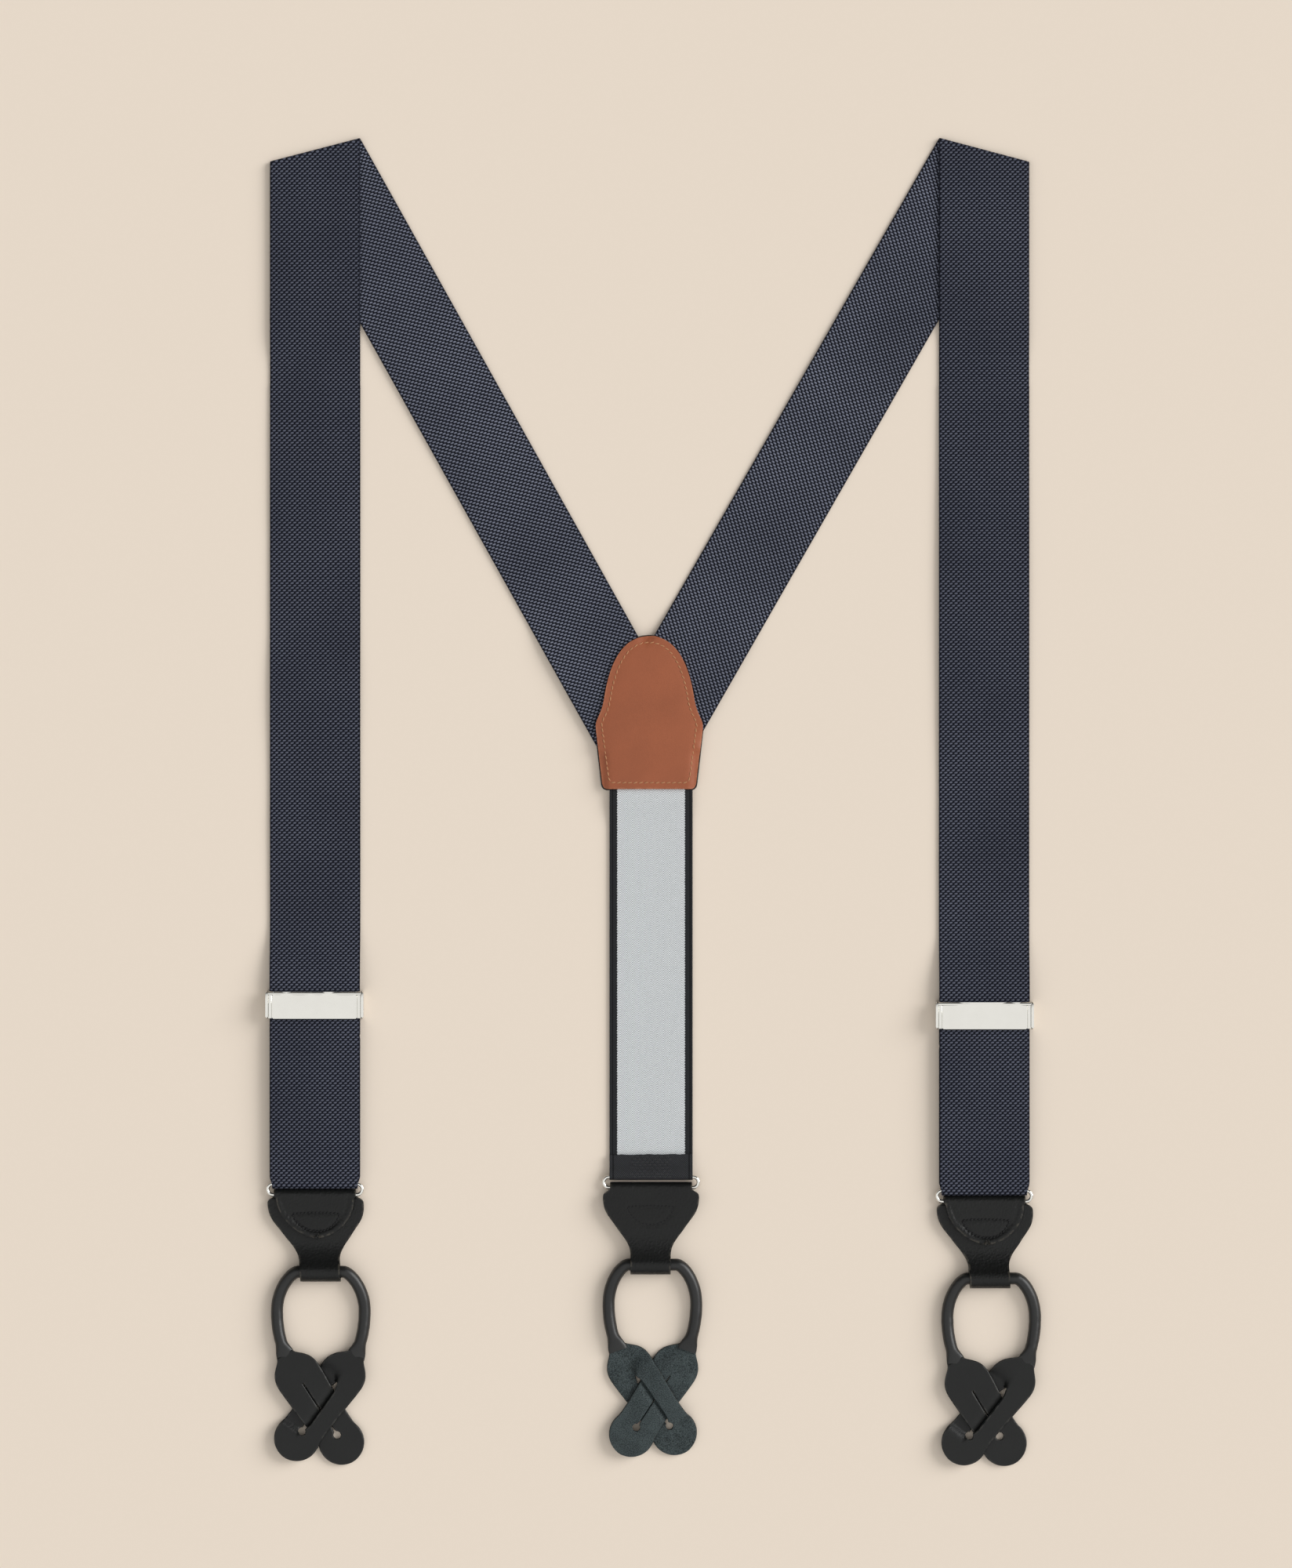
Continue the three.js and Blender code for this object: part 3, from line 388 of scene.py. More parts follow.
def liningFinish():
    finish = Finish("teal-grey tab lining", Roughness=0.65, Specular_IOR_Level=0.2)
    where = finish.place()
    grain = finish.add(
        "ShaderNodeTexVoronoi", {"feature": "SMOOTH_F1"},
        {"Vector": where, "Scale": 1500.0, "Smoothness": 0.5}, out="Distance",
    )
    speck = finish.noise(where, 2600.0, 2.0)
    cloud = finish.noise(where, 120.0, 2.0)
    shade = finish.fade(speck * 0.75 + cloud * 0.25, 0.36, 0.62)
    finish.feed("Base Color", finish.mix(shade, (0.013, 0.018, 0.019), (0.062, 0.080, 0.082)))
    finish.feed("Roughness", 0.55 + cloud * 0.25)
    finish.feed("Normal", finish.bump(grain + speck * 0.5, 0.09 * mm, 0.9))
    return finish.material


def nickelFinish():
    finish = Finish("polished nickel", Metallic=1.0, Roughness=0.07)
    where = finish.place()
    haze = finish.noise(where, 160.0, 3.0)
    rub = finish.noise(where, 2400.0, 2.0)
    dent = finish.noise(where, 95.0, 2.0)
    finish.feed("Base Color", finish.mix(haze, (0.80, 0.785, 0.735), (0.86, 0.85, 0.80)))
    finish.feed("Roughness", 0.03 + haze * 0.05 + rub * 0.02)
    finish.feed("Normal", finish.bump(haze * 0.4 + dent, 0.35 * mm, 0.35))
    return finish.material


def threadFinish(name, dark, light):
    finish = Finish(name, Roughness=0.6, Specular_IOR_Level=0.25)
    where = finish.place()
    twist = finish.noise(where, 2600.0, 2.0)
    age = finish.noise(where, 300.0, 2.0)
    finish.feed("Base Color", finish.mix(twist * 0.6 + age * 0.4, dark, light))
    finish.feed("Roughness", 0.5 + twist * 0.3)
    finish.feed("Normal", finish.bump(twist, 0.1 * mm, 0.8))
    return finish.material


def floorFinish():
    finish = Finish("cream paper floor", Roughness=0.9, Specular_IOR_Level=0.1)
    tooth = finish.noise(finish.place(), 420.0, 3.0)
    pale = studio["floorColour"]
    dim = tuple(c * 0.985 for c in pale)
    finish.feed("Base Color", finish.mix(tooth, dim, pale))
    return finish.material


def makeLight():
    world = bpy.data.worlds.new("soft sky")
    world.use_nodes = True
    bpy.context.scene.world = world
    tree = world.node_tree
    background = tree.nodes["Background"]
    background.inputs["Strength"].default_value = studio["skyPower"]
    direction = tree.nodes.new("ShaderNodeTexCoord")
    height = tree.nodes.new("ShaderNodeSeparateXYZ")
    ramp = tree.nodes.new("ShaderNodeValToRGB")
    ramp.color_ramp.elements[0].position = 0.1
    ramp.color_ramp.elements[0].color = (0.16, 0.155, 0.15, 1)
    ramp.color_ramp.elements[1].position = 0.6
    ramp.color_ramp.elements[1].color = (1.0, 0.995, 0.985, 1)
    tree.links.new(direction.outputs["Generated"], height.inputs[0])
    tree.links.new(height.outputs["Z"], ramp.inputs[0])
    # a dark wall stands beyond the shoulders' end of the table
    wall = tree.nodes.new("ShaderNodeMapRange")
    wall.interpolation_type = "SMOOTHSTEP"
    wall.inputs["From Min"].default_value = studio["darkSide"][0]
    wall.inputs["From Max"].default_value = studio["darkSide"][1]
    wall.inputs["To Min"].default_value = 1.0
    wall.inputs["To Max"].default_value = 0.12
    shade = tree.nodes.new("ShaderNodeVectorMath")
    shade.operation = "SCALE"
    tree.links.new(height.outputs["Y"], wall.inputs["Value"])
    tree.links.new(ramp.outputs[0], shade.inputs[0])
    tree.links.new(wall.outputs[0], shade.inputs["Scale"])
    tree.links.new(shade.outputs[0], background.inputs["Color"])
    bpy.ops.object.select_all(action="DESELECT")
    tilt = math.radians(90 - studio["keyElevation"])
    turn = math.radians(studio["keyTurn"] + 90)
    bpy.ops.object.light_add(type="SUN", location=(0.5, 0.3, 1.0), rotation=(tilt, 0, turn))
    key = bpy.context.active_object
    key.name = "key_light"
    key.data.energy = studio["keyPower"]
    key.data.angle = math.radians(studio["keyAngle"])


def makeFloor():
    bpy.ops.object.select_all(action="DESELECT")
    bpy.ops.mesh.primitive_plane_add(size=8, location=(0, 0, -0.00005))
    floor = bpy.context.active_object
    floor.name = "floor"
    floor.data.materials.append(floorFinish())


# ---------- modelling helpers ----------
def pick(piece):
    if bpy.context.object and bpy.context.object.mode != "OBJECT":
        bpy.ops.object.mode_set(mode="OBJECT")
    bpy.ops.object.select_all(action="DESELECT")
    piece.select_set(True)
    bpy.context.view_layer.objects.active = piece


def modify(piece, kind, **settings):
    pick(piece)
    modifier = piece.modifiers.new(kind.title(), kind)
    for key, value in settings.items():
        setattr(modifier, key, value)
    bpy.ops.object.modifier_apply(modifier=modifier.name)


def edit(piece):
    pick(piece)
    bpy.ops.object.mode_set(mode="EDIT")
    bpy.ops.mesh.select_mode(type="VERT")
    bpy.ops.mesh.select_all(action="SELECT")


def leaveEdit():
    bpy.ops.object.mode_set(mode="OBJECT")


def weld(piece, distance=0.01):
    edit(piece)
    bpy.ops.mesh.remove_doubles(threshold=distance * mm)
    leaveEdit()


def joinPieces(pieces, name):
    pick(pieces[0])
    for piece in pieces[1:]:
        piece.select_set(True)
    bpy.ops.object.join()
    pieces[0].name = name
    pieces[0].data.name = name
    return pieces[0]


def settle(piece, name, *finishes):
    # a finished piece: its place goes into its mesh, and it gets its name and finishes
    pick(piece)
    bpy.ops.object.transform_apply(location=True, rotation=True, scale=True)
    piece.name = name
    piece.data.name = name
    slots = piece.data.materials
    while len(slots) < len(finishes):
        slots.append(None)
    for index, finish in enumerate(finishes):
        slots[index] = finish
    return piece


def spread(share):
    return math.sin(share * math.pi / 2)   # columns crowd towards both edges


def laySheet(name, rows, columns, place):
    # a flat grid, each corner laid where place(share across, row) says: (point, cut position, inset), in mm
    bpy.ops.object.select_all(action="DESELECT")
    bpy.ops.mesh.primitive_grid_add(x_subdivisions=columns, y_subdivisions=rows, size=1)
    sheet = bpy.context.active_object
    sheet.name = name
    mesh = sheet.data
    cut = []
    inset = mesh.attributes.new("inset", "FLOAT", "POINT")
    for vertex in mesh.vertices:
        share = 2 * vertex.co.x
        row = round((vertex.co.y + 0.5) * rows)
        point, flat, edge = place(share, row)
        vertex.co = Vector(point) * mm
        inset.data[vertex.index].value = edge * mm
        cut.append(Vector(flat) * mm)
    uv = mesh.uv_layers.active
    uv.name = "UVMap"
    for loop in mesh.loops:
        uv.data[loop.index].uv = cut[loop.vertex_index]
    return sheet


def giveThickness(sheet, thick, otherSide=0, meetsAt=()):
    # meetsAt lists the ends (Y) that butt against another length of the same band and so stay square
    for _ in range(otherSide + 1):
        sheet.data.materials.append(None)
    modify(
        sheet, "SOLIDIFY", thickness=thick * mm, offset=0, use_even_offset=True,
        material_offset=otherSide, material_offset_rim=otherSide,
    )
    if meetsAt:
        for face in sheet.data.polygons:
            near = min(abs(face.center.y / mm - y) for y in meetsAt) < 0.2
            face.select = near and abs(face.normal.y) > 0.8
        pick(sheet)
        bpy.ops.object.mode_set(mode="EDIT")
        bpy.ops.mesh.select_mode(type="FACE")
        bpy.ops.transform.edge_crease(value=1)
        bpy.ops.mesh.mark_sharp()
        leaveEdit()
    modify(sheet, "SUBSURF", levels=1, render_levels=1)
    pick(sheet)
    bpy.ops.object.shade_smooth()


class Route:
    # a line seen from the side, in Y and Z: straight runs, eased rises and round turns
    def __init__(self, y, z):
        self.points = [(y, z)]

    def run(self, y, z, steps=1, crowd=1.0):
        y0, z0 = self.points[-1]
        for step in range(1, steps + 1):
            share = (step / steps) ** crowd
            self.points.append((y0 + (y - y0) * share, z0 + (z - z0) * share))
        return self

    def ease(self, y, z, steps=10):
        y0, z0 = self.points[-1]
        for step in range(1, steps + 1):
            share = step / steps
            rise = share * share * (3 - 2 * share)
            self.points.append((y0 + (y - y0) * share, z0 + (z - z0) * rise))
        return self

    def turn(self, y, z, degrees, steps=10):
        y0, z0 = self.points[-1]
        for step in range(1, steps + 1):
            angle = math.radians(degrees) * step / steps
            c, s = math.cos(angle), math.sin(angle)
            dy, dz = y0 - y, z0 - z
            self.points.append((y + dy * c - dz * s, z + dy * s + dz * c))
        return self

    def lengths(self):
        total, found = 0.0, [0.0]
        for (y0, z0), (y1, z1) in zip(self.points, self.points[1:]):
            total += math.hypot(y1 - y0, z1 - z0)
            found.append(total)
        return found


def bezier(a, b, c, d, steps=12):
    points = []
    for step in range(steps + 1):
        t = step / steps
        k = 1 - t
        weights = (k * k * k, 3 * k * k * t, 3 * k * t * t, t * t * t)
        points.append(tuple(sum(w * p[i] for w, p in zip(weights, (a, b, c, d))) for i in range(len(a))))
    return points


def evenPoints(line, pitch):
    # points at a steady pitch along a line of points, with the direction at each
    steps = [math.dist(a, b) for a, b in zip(line, line[1:])]
    at = np.concatenate([[0], np.cumsum(steps)])
    count = max(2, round(at[-1] / pitch))
    flat = np.array(line)
    places = (np.arange(count) + 0.5) / count * at[-1]
    x = np.interp(places, at, flat[:, 0])
    y = np.interp(places, at, flat[:, 1])
    ahead = np.minimum(places + 0.2, at[-1])
    behind = ahead - 0.4
    turnX = np.interp(ahead, at, flat[:, 0]) - np.interp(behind, at, flat[:, 0])
    turnY = np.interp(ahead, at, flat[:, 1]) - np.interp(behind, at, flat[:, 1])
    return list(zip(x, y, np.arctan2(turnY, turnX)))


def addStitches(name, places, length, radius, slant=0.0):
    # one stitch is a short thread, domed at both ends; the seam is its copies at (x, y, z, turn)
    bpy.ops.object.select_all(action="DESELECT")
    bpy.ops.mesh.primitive_uv_sphere_add(segments=8, ring_count=6, radius=1, rotation=(0, math.pi / 2, 0))
    first = bpy.context.active_object
    first.scale = (radius * mm, radius * mm, length / 2 * mm)
    bpy.ops.object.transform_apply(location=False, rotation=True, scale=True)
    stitches = []
    for x, y, z, turn in places:
        stitch = first.copy()
        stitch.data = first.data.copy()
        bpy.context.scene.collection.objects.link(stitch)
        stitch.location = (x * mm, y * mm, z * mm)
        stitch.rotation_euler = (0, 0, turn + slant + dice.uniform(-0.12, 0.12))
        stitches.append(stitch)
    bpy.data.objects.remove(first)
    seam = joinPieces(stitches, name)
    bpy.ops.object.shade_smooth()
    return seam


def box(x, y, z, sizeX, sizeY, sizeZ):
    bpy.ops.object.select_all(action="DESELECT")
    bpy.ops.mesh.primitive_cube_add(size=1, location=(x * mm, y * mm, z * mm))
    made = bpy.context.active_object
    made.scale = (sizeX * mm, sizeY * mm, sizeZ * mm)
    bpy.ops.object.transform_apply(location=True, rotation=True, scale=True)
    return made


def rod(x, y, z, length, radius, sides=32):
    bpy.ops.object.select_all(action="DESELECT")
    bpy.ops.mesh.primitive_cylinder_add(
        vertices=sides, radius=radius * mm, depth=length * mm,
        location=(x * mm, y * mm, z * mm), rotation=(0, math.pi / 2, 0),
    )
    bpy.ops.object.transform_apply(location=True, rotation=True, scale=True)
    return bpy.context.active_object


def roundEdges(piece, width, segments=3, angle=35):
    modify(
        piece, "BEVEL", width=width * mm, segments=segments,
        limit_method="ANGLE", angle_limit=math.radians(angle), harden_normals=False,
    )
    pick(piece)
    bpy.ops.object.shade_smooth_by_angle(angle=math.radians(40))


# ---------- straps ----------
strapShape = {
    "crossing": (-1.6, -12.2),   # where the two diagonals' middles meet
    "foldY": 236.9,              # where the turned edge crosses the front run's middle
    "foldGap": 0.1,
    "overY": 166.5,              # the front run lies on the diagonal down to here
    "dropLength": 16.0,          # and then comes down to the floor
    "patchFloor": 1.55,          # underside of the straps inside the patch
    "patchDrop": (44.0, 62.0),   # along the square of the fold, where they come down from it
    "cutAtY": -14.0,
    "wave": 0.35,
    "rampHigh": 8.0,             # above the adjuster's middle
    "rampLow": 36.0,
    "columns": 14,
}


def floorWave(x, y, height):
    # the slight rise and fall of a strap that lies loose
    lift = noise.noise(Vector((x * 0.013, y * 0.021, 0.5))) + 0.35
    return height * max(lift, 0.0)


def makeShoulder(end, outer, inner):
    shape = strapShape
    name = end["node"] + "_shoulder_webbing"
    centreX = end["clip"].x
    crossX, crossY = shape["crossing"]
    side = 1 if centreX > crossX else -1
    reach = abs(centreX - crossX)
    half = math.atan2(reach, shape["foldY"] - crossY) / 2
    square = Vector((math.sin(half), math.cos(half)))
    across = Vector((math.cos(half), -math.sin(half)))
    along = Vector((math.sin(2 * half), math.cos(2 * half)))
    sideways = Vector((math.cos(2 * half), -math.sin(2 * half)))
    thick = stock["webbingThick"]
    floor = thick / 2
    radius = (thick + shape["foldGap"]) / 2
    turnLength = math.pi * radius
    turnAt = (reach / math.sin(half) - turnLength) / 2
    leaveAt = reach * square.x + (shape["overY"] - crossY) * square.y
    inPatch = shape["patchFloor"] + floor
    topY = nodeBox(end["node"] + "_strap_run")[1].y + stock["cutGap"]

    def fold(p):
        # distance out along the square of the turned edge, and height, at a distance p along the strap's run
        if p < turnAt:
            low, high = shape["patchDrop"]
            share = min(max((p - low) / (high - low), 0), 1)
            return p, inPatch + (floor - inPatch) * share * share * (3 - 2 * share)
        if p < turnAt + turnLength:
            angle = (p - turnAt) / radius
            return turnAt + radius * math.sin(angle), floor + radius * (1 - math.cos(angle))
        out = 2 * turnAt + turnLength - p
        share = min(max((leaveAt - out) / shape["dropLength"], 0), 1)
        return out, floor + 2 * radius * (1 - share * share * (3 - 2 * share))

    # rows lie along the turned edge where the strap turns, and square across it at its two ends
    width = stock["webbingWidth"]
    skew = -sideways.dot(square) / along.dot(square)
    foldAlong = (turnAt + turnLength / 2) / along.dot(square)
    stations = list(np.arange(-40, foldAlong - 8, 4.0))
    stations += list(np.arange(foldAlong - 8, foldAlong + 8, 0.3))
    def frontY(l):
        out, _ = fold(l * along.dot(square))
        return crossY + square.y * out + across.y * l * along.dot(across)

    l = foldAlong + 8
    while frontY(l) > topY + 4:
        stations.append(l)
        l += 3.0
    stations.append(l + (frontY(l) - topY) / (frontY(l) - frontY(l + 1)))

    def place(share, row):
        offset = spread(share) * width / 2
        station = stations[row]
        near = min(max(1.6 - abs(station - foldAlong) / 40, 0), 1)
        l = station + offset * skew * near * near * (3 - 2 * near)
        flat = along * l + sideways * offset
        out, z = fold(flat.dot(square))
        spot = square * out + across * flat.dot(across)
        y = crossY + spot.y
        x = crossX + side * spot.x
        loose = min(max((l - 75) / 60, 0), 1) * min(max((foldAlong - 30 - l) / 40, 0), 1)
        z += floorWave(x, y, shape["wave"]) * loose
        return (x, y, z), (side * offset, l), width / 2 - abs(offset)

    sheet = laySheet(name, len(stations) - 1, shape["columns"], place)
    edit(sheet)
    cutX = (crossX + side * 0.08) * mm
    bpy.ops.mesh.bisect(plane_co=(cutX, 0, 0), plane_no=(side, 0, 0), clear_inner=True)
    bpy.ops.mesh.select_all(action="SELECT")
    bpy.ops.mesh.bisect(plane_co=(0, shape["cutAtY"] * mm, 0), plane_no=(0, 1, 0), clear_inner=True)
    leaveEdit()
    giveThickness(sheet, thick, otherSide=1, meetsAt=[topY])
    settle(sheet, name, *((inner, outer) if side > 0 else (outer, inner)))
    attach(sheet, "back_and_straps")
    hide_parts(end["node"] + "_shoulder_strap")
    length = stations[-1] * mm
    end["webbingSoFar"] = stations[-1]


def layStrap(name, end, route, width, startAt, columns, narrow=None):
    # a strap laid along a side route, its cut position counted on from startAt
    lengths = route.lengths()

    def place(share, row):
        y, z = route.points[row]
        half = width / 2
        if narrow:
            half = min(half, narrow(y))
        offset = spread(share) * half
        x = end["ring"].x + offset
        return (x, y, z), (offset, startAt + lengths[row]), half - abs(offset)

    return laySheet(name, len(route.points) - 1, columns, place)


def makeFrontRun(end, finish):
    shape = strapShape
    name = end["node"] + "_front_webbing"
    low, high = nodeBox(end["node"] + "_strap_run")
    thick = stock["webbingThick"]
    floor = thick / 2
    clipY = end["clip"].y
    raised = high.z - floor
    route = Route(high.y + stock["cutGap"], floor)
    route.run(clipY + shape["rampLow"], floor, 60)
    route.ease(clipY + shape["rampHigh"], raised, 12)
    route.run(low.y, raised, 5)
    points = []
    top, bottom = high.y, clipY + shape["rampLow"]
    for y, z in route.points:
        share = min(max((top - 6 - y) / 40, 0), 1) * min(max((y - bottom) / 40, 0), 1)
        points.append((y, z + floorWave(end["clip"].x, y, 2 * shape["wave"]) * share))
    route.points = points
    sheet = layStrap(name, end, route, stock["webbingWidth"], end["webbingSoFar"], shape["columns"])
    giveThickness(sheet, thick, meetsAt=[high.y + stock["cutGap"], low.y])
    settle(sheet, name, finish)
    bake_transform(sheet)
    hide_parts(end["node"] + "_strap_run")
    length = route.lengths()[-1]
    end["webbingSoFar"] += length


def ringNarrowing(end, width):
    # a band is drawn in a little where it turns round the wire, up to where the wire has hardly begun to bend
    inner = end["ringHalfWidth"] - end["wireHalfGap"] - stock["wireDia"] / 2 + 0.3
    fold = end["ring"].y + end["wireHalfGap"]

    def half(y):
        share = min(max((y - fold - 0.2) / 2.2, 0), 1)
        return inner + (width / 2 - inner) * share * share * (3 - 2 * share)

    return half if inner < width / 2 else None


def makeLowerWebbing(end, finish):
    shape = strapShape
    name = end["node"] + "_lower_webbing"
    low, high = nodeBox(end["node"] + "_strap_loop")
    sewnLow, _ = nodeBox(end["node"] + "_strap_sewn_end")
    thick = stock["webbingThick"]
    floor = thick / 2
    wire = stock["wireDia"] / 2 + stock["layGap"] + thick / 2
    foldY = end["ring"].y + end["wireHalfGap"]
    ringZ = end["ring"].z
    grip = high.z - floor
    route = Route(end["clip"].y - end["clipSize"].y / 2 + 0.4, grip)
    route.run(end["clip"].y - end["clipSize"].y / 2 - 10, grip, 5)
    route.ease(foldY + 5, ringZ + wire, 20)
    route.run(foldY, ringZ + wire, 3)
    route.turn(foldY, ringZ, 180, 12)
    route.run(foldY + 4, ringZ - wire, 3)
    route.ease(foldY + 16, floor, 8)
    route.run(sewnLow.y - 0.1, floor, 16)
    sheet = layStrap(
        name, end, route, stock["webbingWidth"], end["webbingSoFar"], shape["columns"],
        ringNarrowing(end, stock["webbingWidth"]),
    )
    giveThickness(sheet, thick)
    settle(sheet, name, finish)
    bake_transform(sheet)
    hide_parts(end["node"] + "_strap_loop")
    length = route.lengths()[-1]
    end["webbingSoFar"] += length


def makeSewnEnd(end, finish):
    shape = strapShape
    name = end["node"] + "_sewn_webbing_end"
    low, high = nodeBox(end["node"] + "_strap_sewn_end")
    seam, _ = nodeBox(end["node"] + "_strap_seam")
    thick = stock["webbingThick"]
    floor = thick / 2
    front = high.z - floor
    turn = (front - floor) / 2
    topY = high.y - turn - floor
    laid = thick + stock["layGap"] + floor
    route = Route(low.y, floor)
    route.run(topY, floor, 10)
    route.turn(topY, floor + turn, 180, 10)
    route.run(end["clip"].y - 4.4, front, 5)
    route.ease(seam.y + 2.2, laid, 6)
    route.run(low.y, laid, 4)
    sheet = layStrap(name, end, route, stock["webbingWidth"], end["webbingSoFar"], shape["columns"])
    giveThickness(sheet, thick)
    settle(sheet, name, finish)
    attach(sheet, end["body"] + "_adjuster")
    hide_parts(end["node"] + "_strap_sewn_end")
    length = route.lengths()[-1]


def makeEndSeam(end, finish):
    name = end["node"] + "_sewn_end_stitches"
    low, high = nodeBox(end["node"] + "_strap_seam")
    places = []
    for row in (0.0, -1.8):
        y = (low.y + high.y) / 2 + row
        line = [(low.x, y), (high.x, y)]
        places += [(x, y, low.z + 0.1, turn) for x, y, turn in evenPoints(line, 2.4)]
    seam = addStitches(name, places, 2.0, 0.3)
    settle(seam, name, finish)
    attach(seam, end["body"] + "_adjuster")
    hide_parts(end["node"] + "_strap_seam")


# ---------- elastic ----------
elasticShape = {
    "columns": 16, "patchRun": 2.0, "dropEnd": 16.0,
    "wovenFrom": 60.0,     # where on the roll the long piece starts
}


def makeElastic(end, pale, face):
    shape = elasticShape
    thick = stock["elasticThick"]
    floor = thick / 2
    width = stock["elasticWidth"]
    low, high = nodeBox("back_elastic")
    patchLow, _ = nodeBox("back_patch_outer")
    inPatch = high.z - floor
    meetY = low.y - stock["cutGap"] / 2
    web = Route(meetY, floor)
    web.run(patchLow.y - shape["dropEnd"], floor, 44)
    web.ease(patchLow.y - shape["patchRun"], inPatch, 8)
    web.run(high.y, inPatch, 6)
    sheet = layStrap("back_elastic_web", end, web, width, shape["wovenFrom"], shape["columns"])
    giveThickness(sheet, thick, otherSide=1, meetsAt=[meetY])
    settle(sheet, "back_elastic_web", pale, face)
    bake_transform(sheet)
    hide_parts("back_elastic")
    web.lengths()[-1] * mm

    # the end turned up round the ring's wire, its black face outwards
    ringZ = end["ring"].z
    foldY = end["ring"].y + end["wireHalfGap"]
    wire = stock["wireDia"] / 2 + stock["layGap"] + thick / 2
    tipY = foldY + 11.5 - wire - floor
    lying = thick + stock["layGap"] + floor
    route = Route(tipY, lying)
    route.run(foldY + 5.5, lying, 8)
    route.ease(foldY + 0.8, ringZ + wire, 5)
    route.turn(foldY + 0.8, ringZ, 180, 12)
    route.ease(foldY + 6, floor, 6)
    route.run(meetY, floor, 5)
    turnedFrom = shape["wovenFrom"] - route.lengths()[-1]
    base = layStrap("turned_end", end, route, width, turnedFrom, 36, ringNarrowing(end, width))
    # the cut edge is a little wavy and pulled up at its left
    for vertex in base.data.vertices:
        y, z = vertex.co.y / mm, vertex.co.z / mm
        if z > lying - 0.3 and y > tipY - 2.4:
            near = (y - tipY + 2.4) / 2.4
            ripple = 0.35 * noise.noise(Vector((vertex.co.x * 420, 1.7, 0)))
            slope = 0.012 * (vertex.co.x / mm - end["ring"].x)
            vertex.co.y += near * (ripple + slope) * mm
    giveThickness(base, thick, otherSide=1, meetsAt=[meetY])
    settle(base, "back_elastic_turned_up_end", pale, face)
    end["turnedRoute"] = route.points[:13]
    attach(base, "back_elastic_bottom")
    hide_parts("back_elastic_turned_end")
    route.lengths()[-1] * mm


tackShape = {"rows": 8, "rowPitch": 1.2, "stitchPitch": 2.1, "stitchLength": 2.0}


def makeBarTack(end, finish):
    # close rows of short satin stitches, each row half a stitch over from the last
    shape = tackShape
    low, high = nodeBox("back_elastic_bar_tack")
    points = sorted(end["turnedRoute"])
    lying = [y for y, _ in points], [z for _, z in points]
    topY = points[-1][0] - 0.8
    places = []
    for row in range(shape["rows"]):
        y = topY - shape["rowPitch"] * row
        z = float(np.interp(y, *lying)) + stock["elasticThick"] / 2
        x = low.x + 1 + (shape["stitchPitch"] / 2 if row % 2 else 0)
        while x < high.x - 0.8:
            places.append((x, y + dice.uniform(-0.1, 0.1), z, dice.uniform(-0.12, 0.12)))
            x += shape["stitchPitch"]
    tack = addStitches("back_elastic_tack_stitches", places, shape["stitchLength"], 0.34)
    settle(tack, "back_elastic_tack_stitches", finish)
    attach(tack, "back_elastic_bottom")
    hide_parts("back_elastic_bar_tack")


# ---------- back patch ----------
patchShape = {
    "top": 32.7, "bottom": -32.7, "half": 23.0, "bottomHalf": 20.0, "corner": 2.4,
    "waist": -4.8, "dome": 4.6, "liningInset": 0.5, "stitchInset": 3.2,
    "stitchPitch": 2.35, "stitchLength": 1.9, "stitchRadius": 0.3,
    "pinch": 1.1,          # how far the lining is sewn down where no strap lies under it
}


def patchOutline(inset):
    # half the outline, from the middle of the bottom edge up to the top of the dome: (half width, y)
    shape = patchShape
    bottom, top = shape["bottom"] + inset, shape["top"] - inset
    half, low, corner = shape["half"] - inset, shape["bottomHalf"] - inset, shape["corner"]
    edge = [(0.0, bottom), (low - corner, bottom)]
    edge += bezier(
        (low - corner, bottom), (low - 0.8, bottom), (low, bottom + 0.8), (low + 0.3, bottom + corner), 6)[1:]
    waist, dome = shape["waist"], shape["dome"]
    edge += [(half + 0.1, waist - 0.9)]
    edge += bezier(
        (half + 0.1, waist - 0.9), (half + 0.25, waist), (half - 0.1, waist + 1.4),
        (half - 1.1, waist + 3), 6)[1:]
    edge += bezier(
        (half - 1.1, waist + 3), (half - 2.2, dome - 4), (half - 2.9, dome - 2), (half - 3.3, dome), 6)[1:]
    edge += bezier((half - 3.3, dome), (half - 4.4, dome + 7.4), (half - 7.5, top), (0, top), 24)[1:]
    return edge


def layPatch(name, inset, height, columns=26):
    edge = patchOutline(inset)
    ys = np.array([y for _, y in edge])
    xs = np.array([x for x, _ in edge])
    bottom, top = ys[0], ys[-1]
    rows = 56
    stations = []
    for row in range(rows + 1):
        share = row / rows
        stations.append(bottom + (top - bottom) * (1 - math.cos(share * math.pi)) / 2)
    ys = ys + np.linspace(0, 1e-4, len(ys))

    def place(share, row):
        y = stations[row]
        half = float(np.interp(min(y, top - 0.02), ys, xs)) if row else float(xs[1])
        x = spread(share) * half
        gone = min(half - abs(x), y - bottom, top - y)
        return (x, y, height(x, y, gone)), (x, y), gone

    sheet = laySheet(name, rows, columns, place)
    weld(sheet, 0.005)
    return sheet


def overStrap(x, y):
    # 1 above the two diagonals and the elastic, fading to 0 beside them
    crossX, crossY = strapShape["crossing"]
    reach = 142.0
    angle = math.atan2(reach, strapShape["foldY"] - crossY)
    best = 0.0
    for side in (-1, 1):
        dx, dy = (x - crossX) * side, y - crossY
        away = abs(dx * math.cos(angle) - dy * math.sin(angle))
        best = max(best, 1 - min(max((away - 17.5) / 3.0, 0), 1) if dy > -4 else 0)
    if y < -10:
        best = max(best, 1 - min(max((abs(x) - 16.5) / 2.2, 0), 1))
    return best


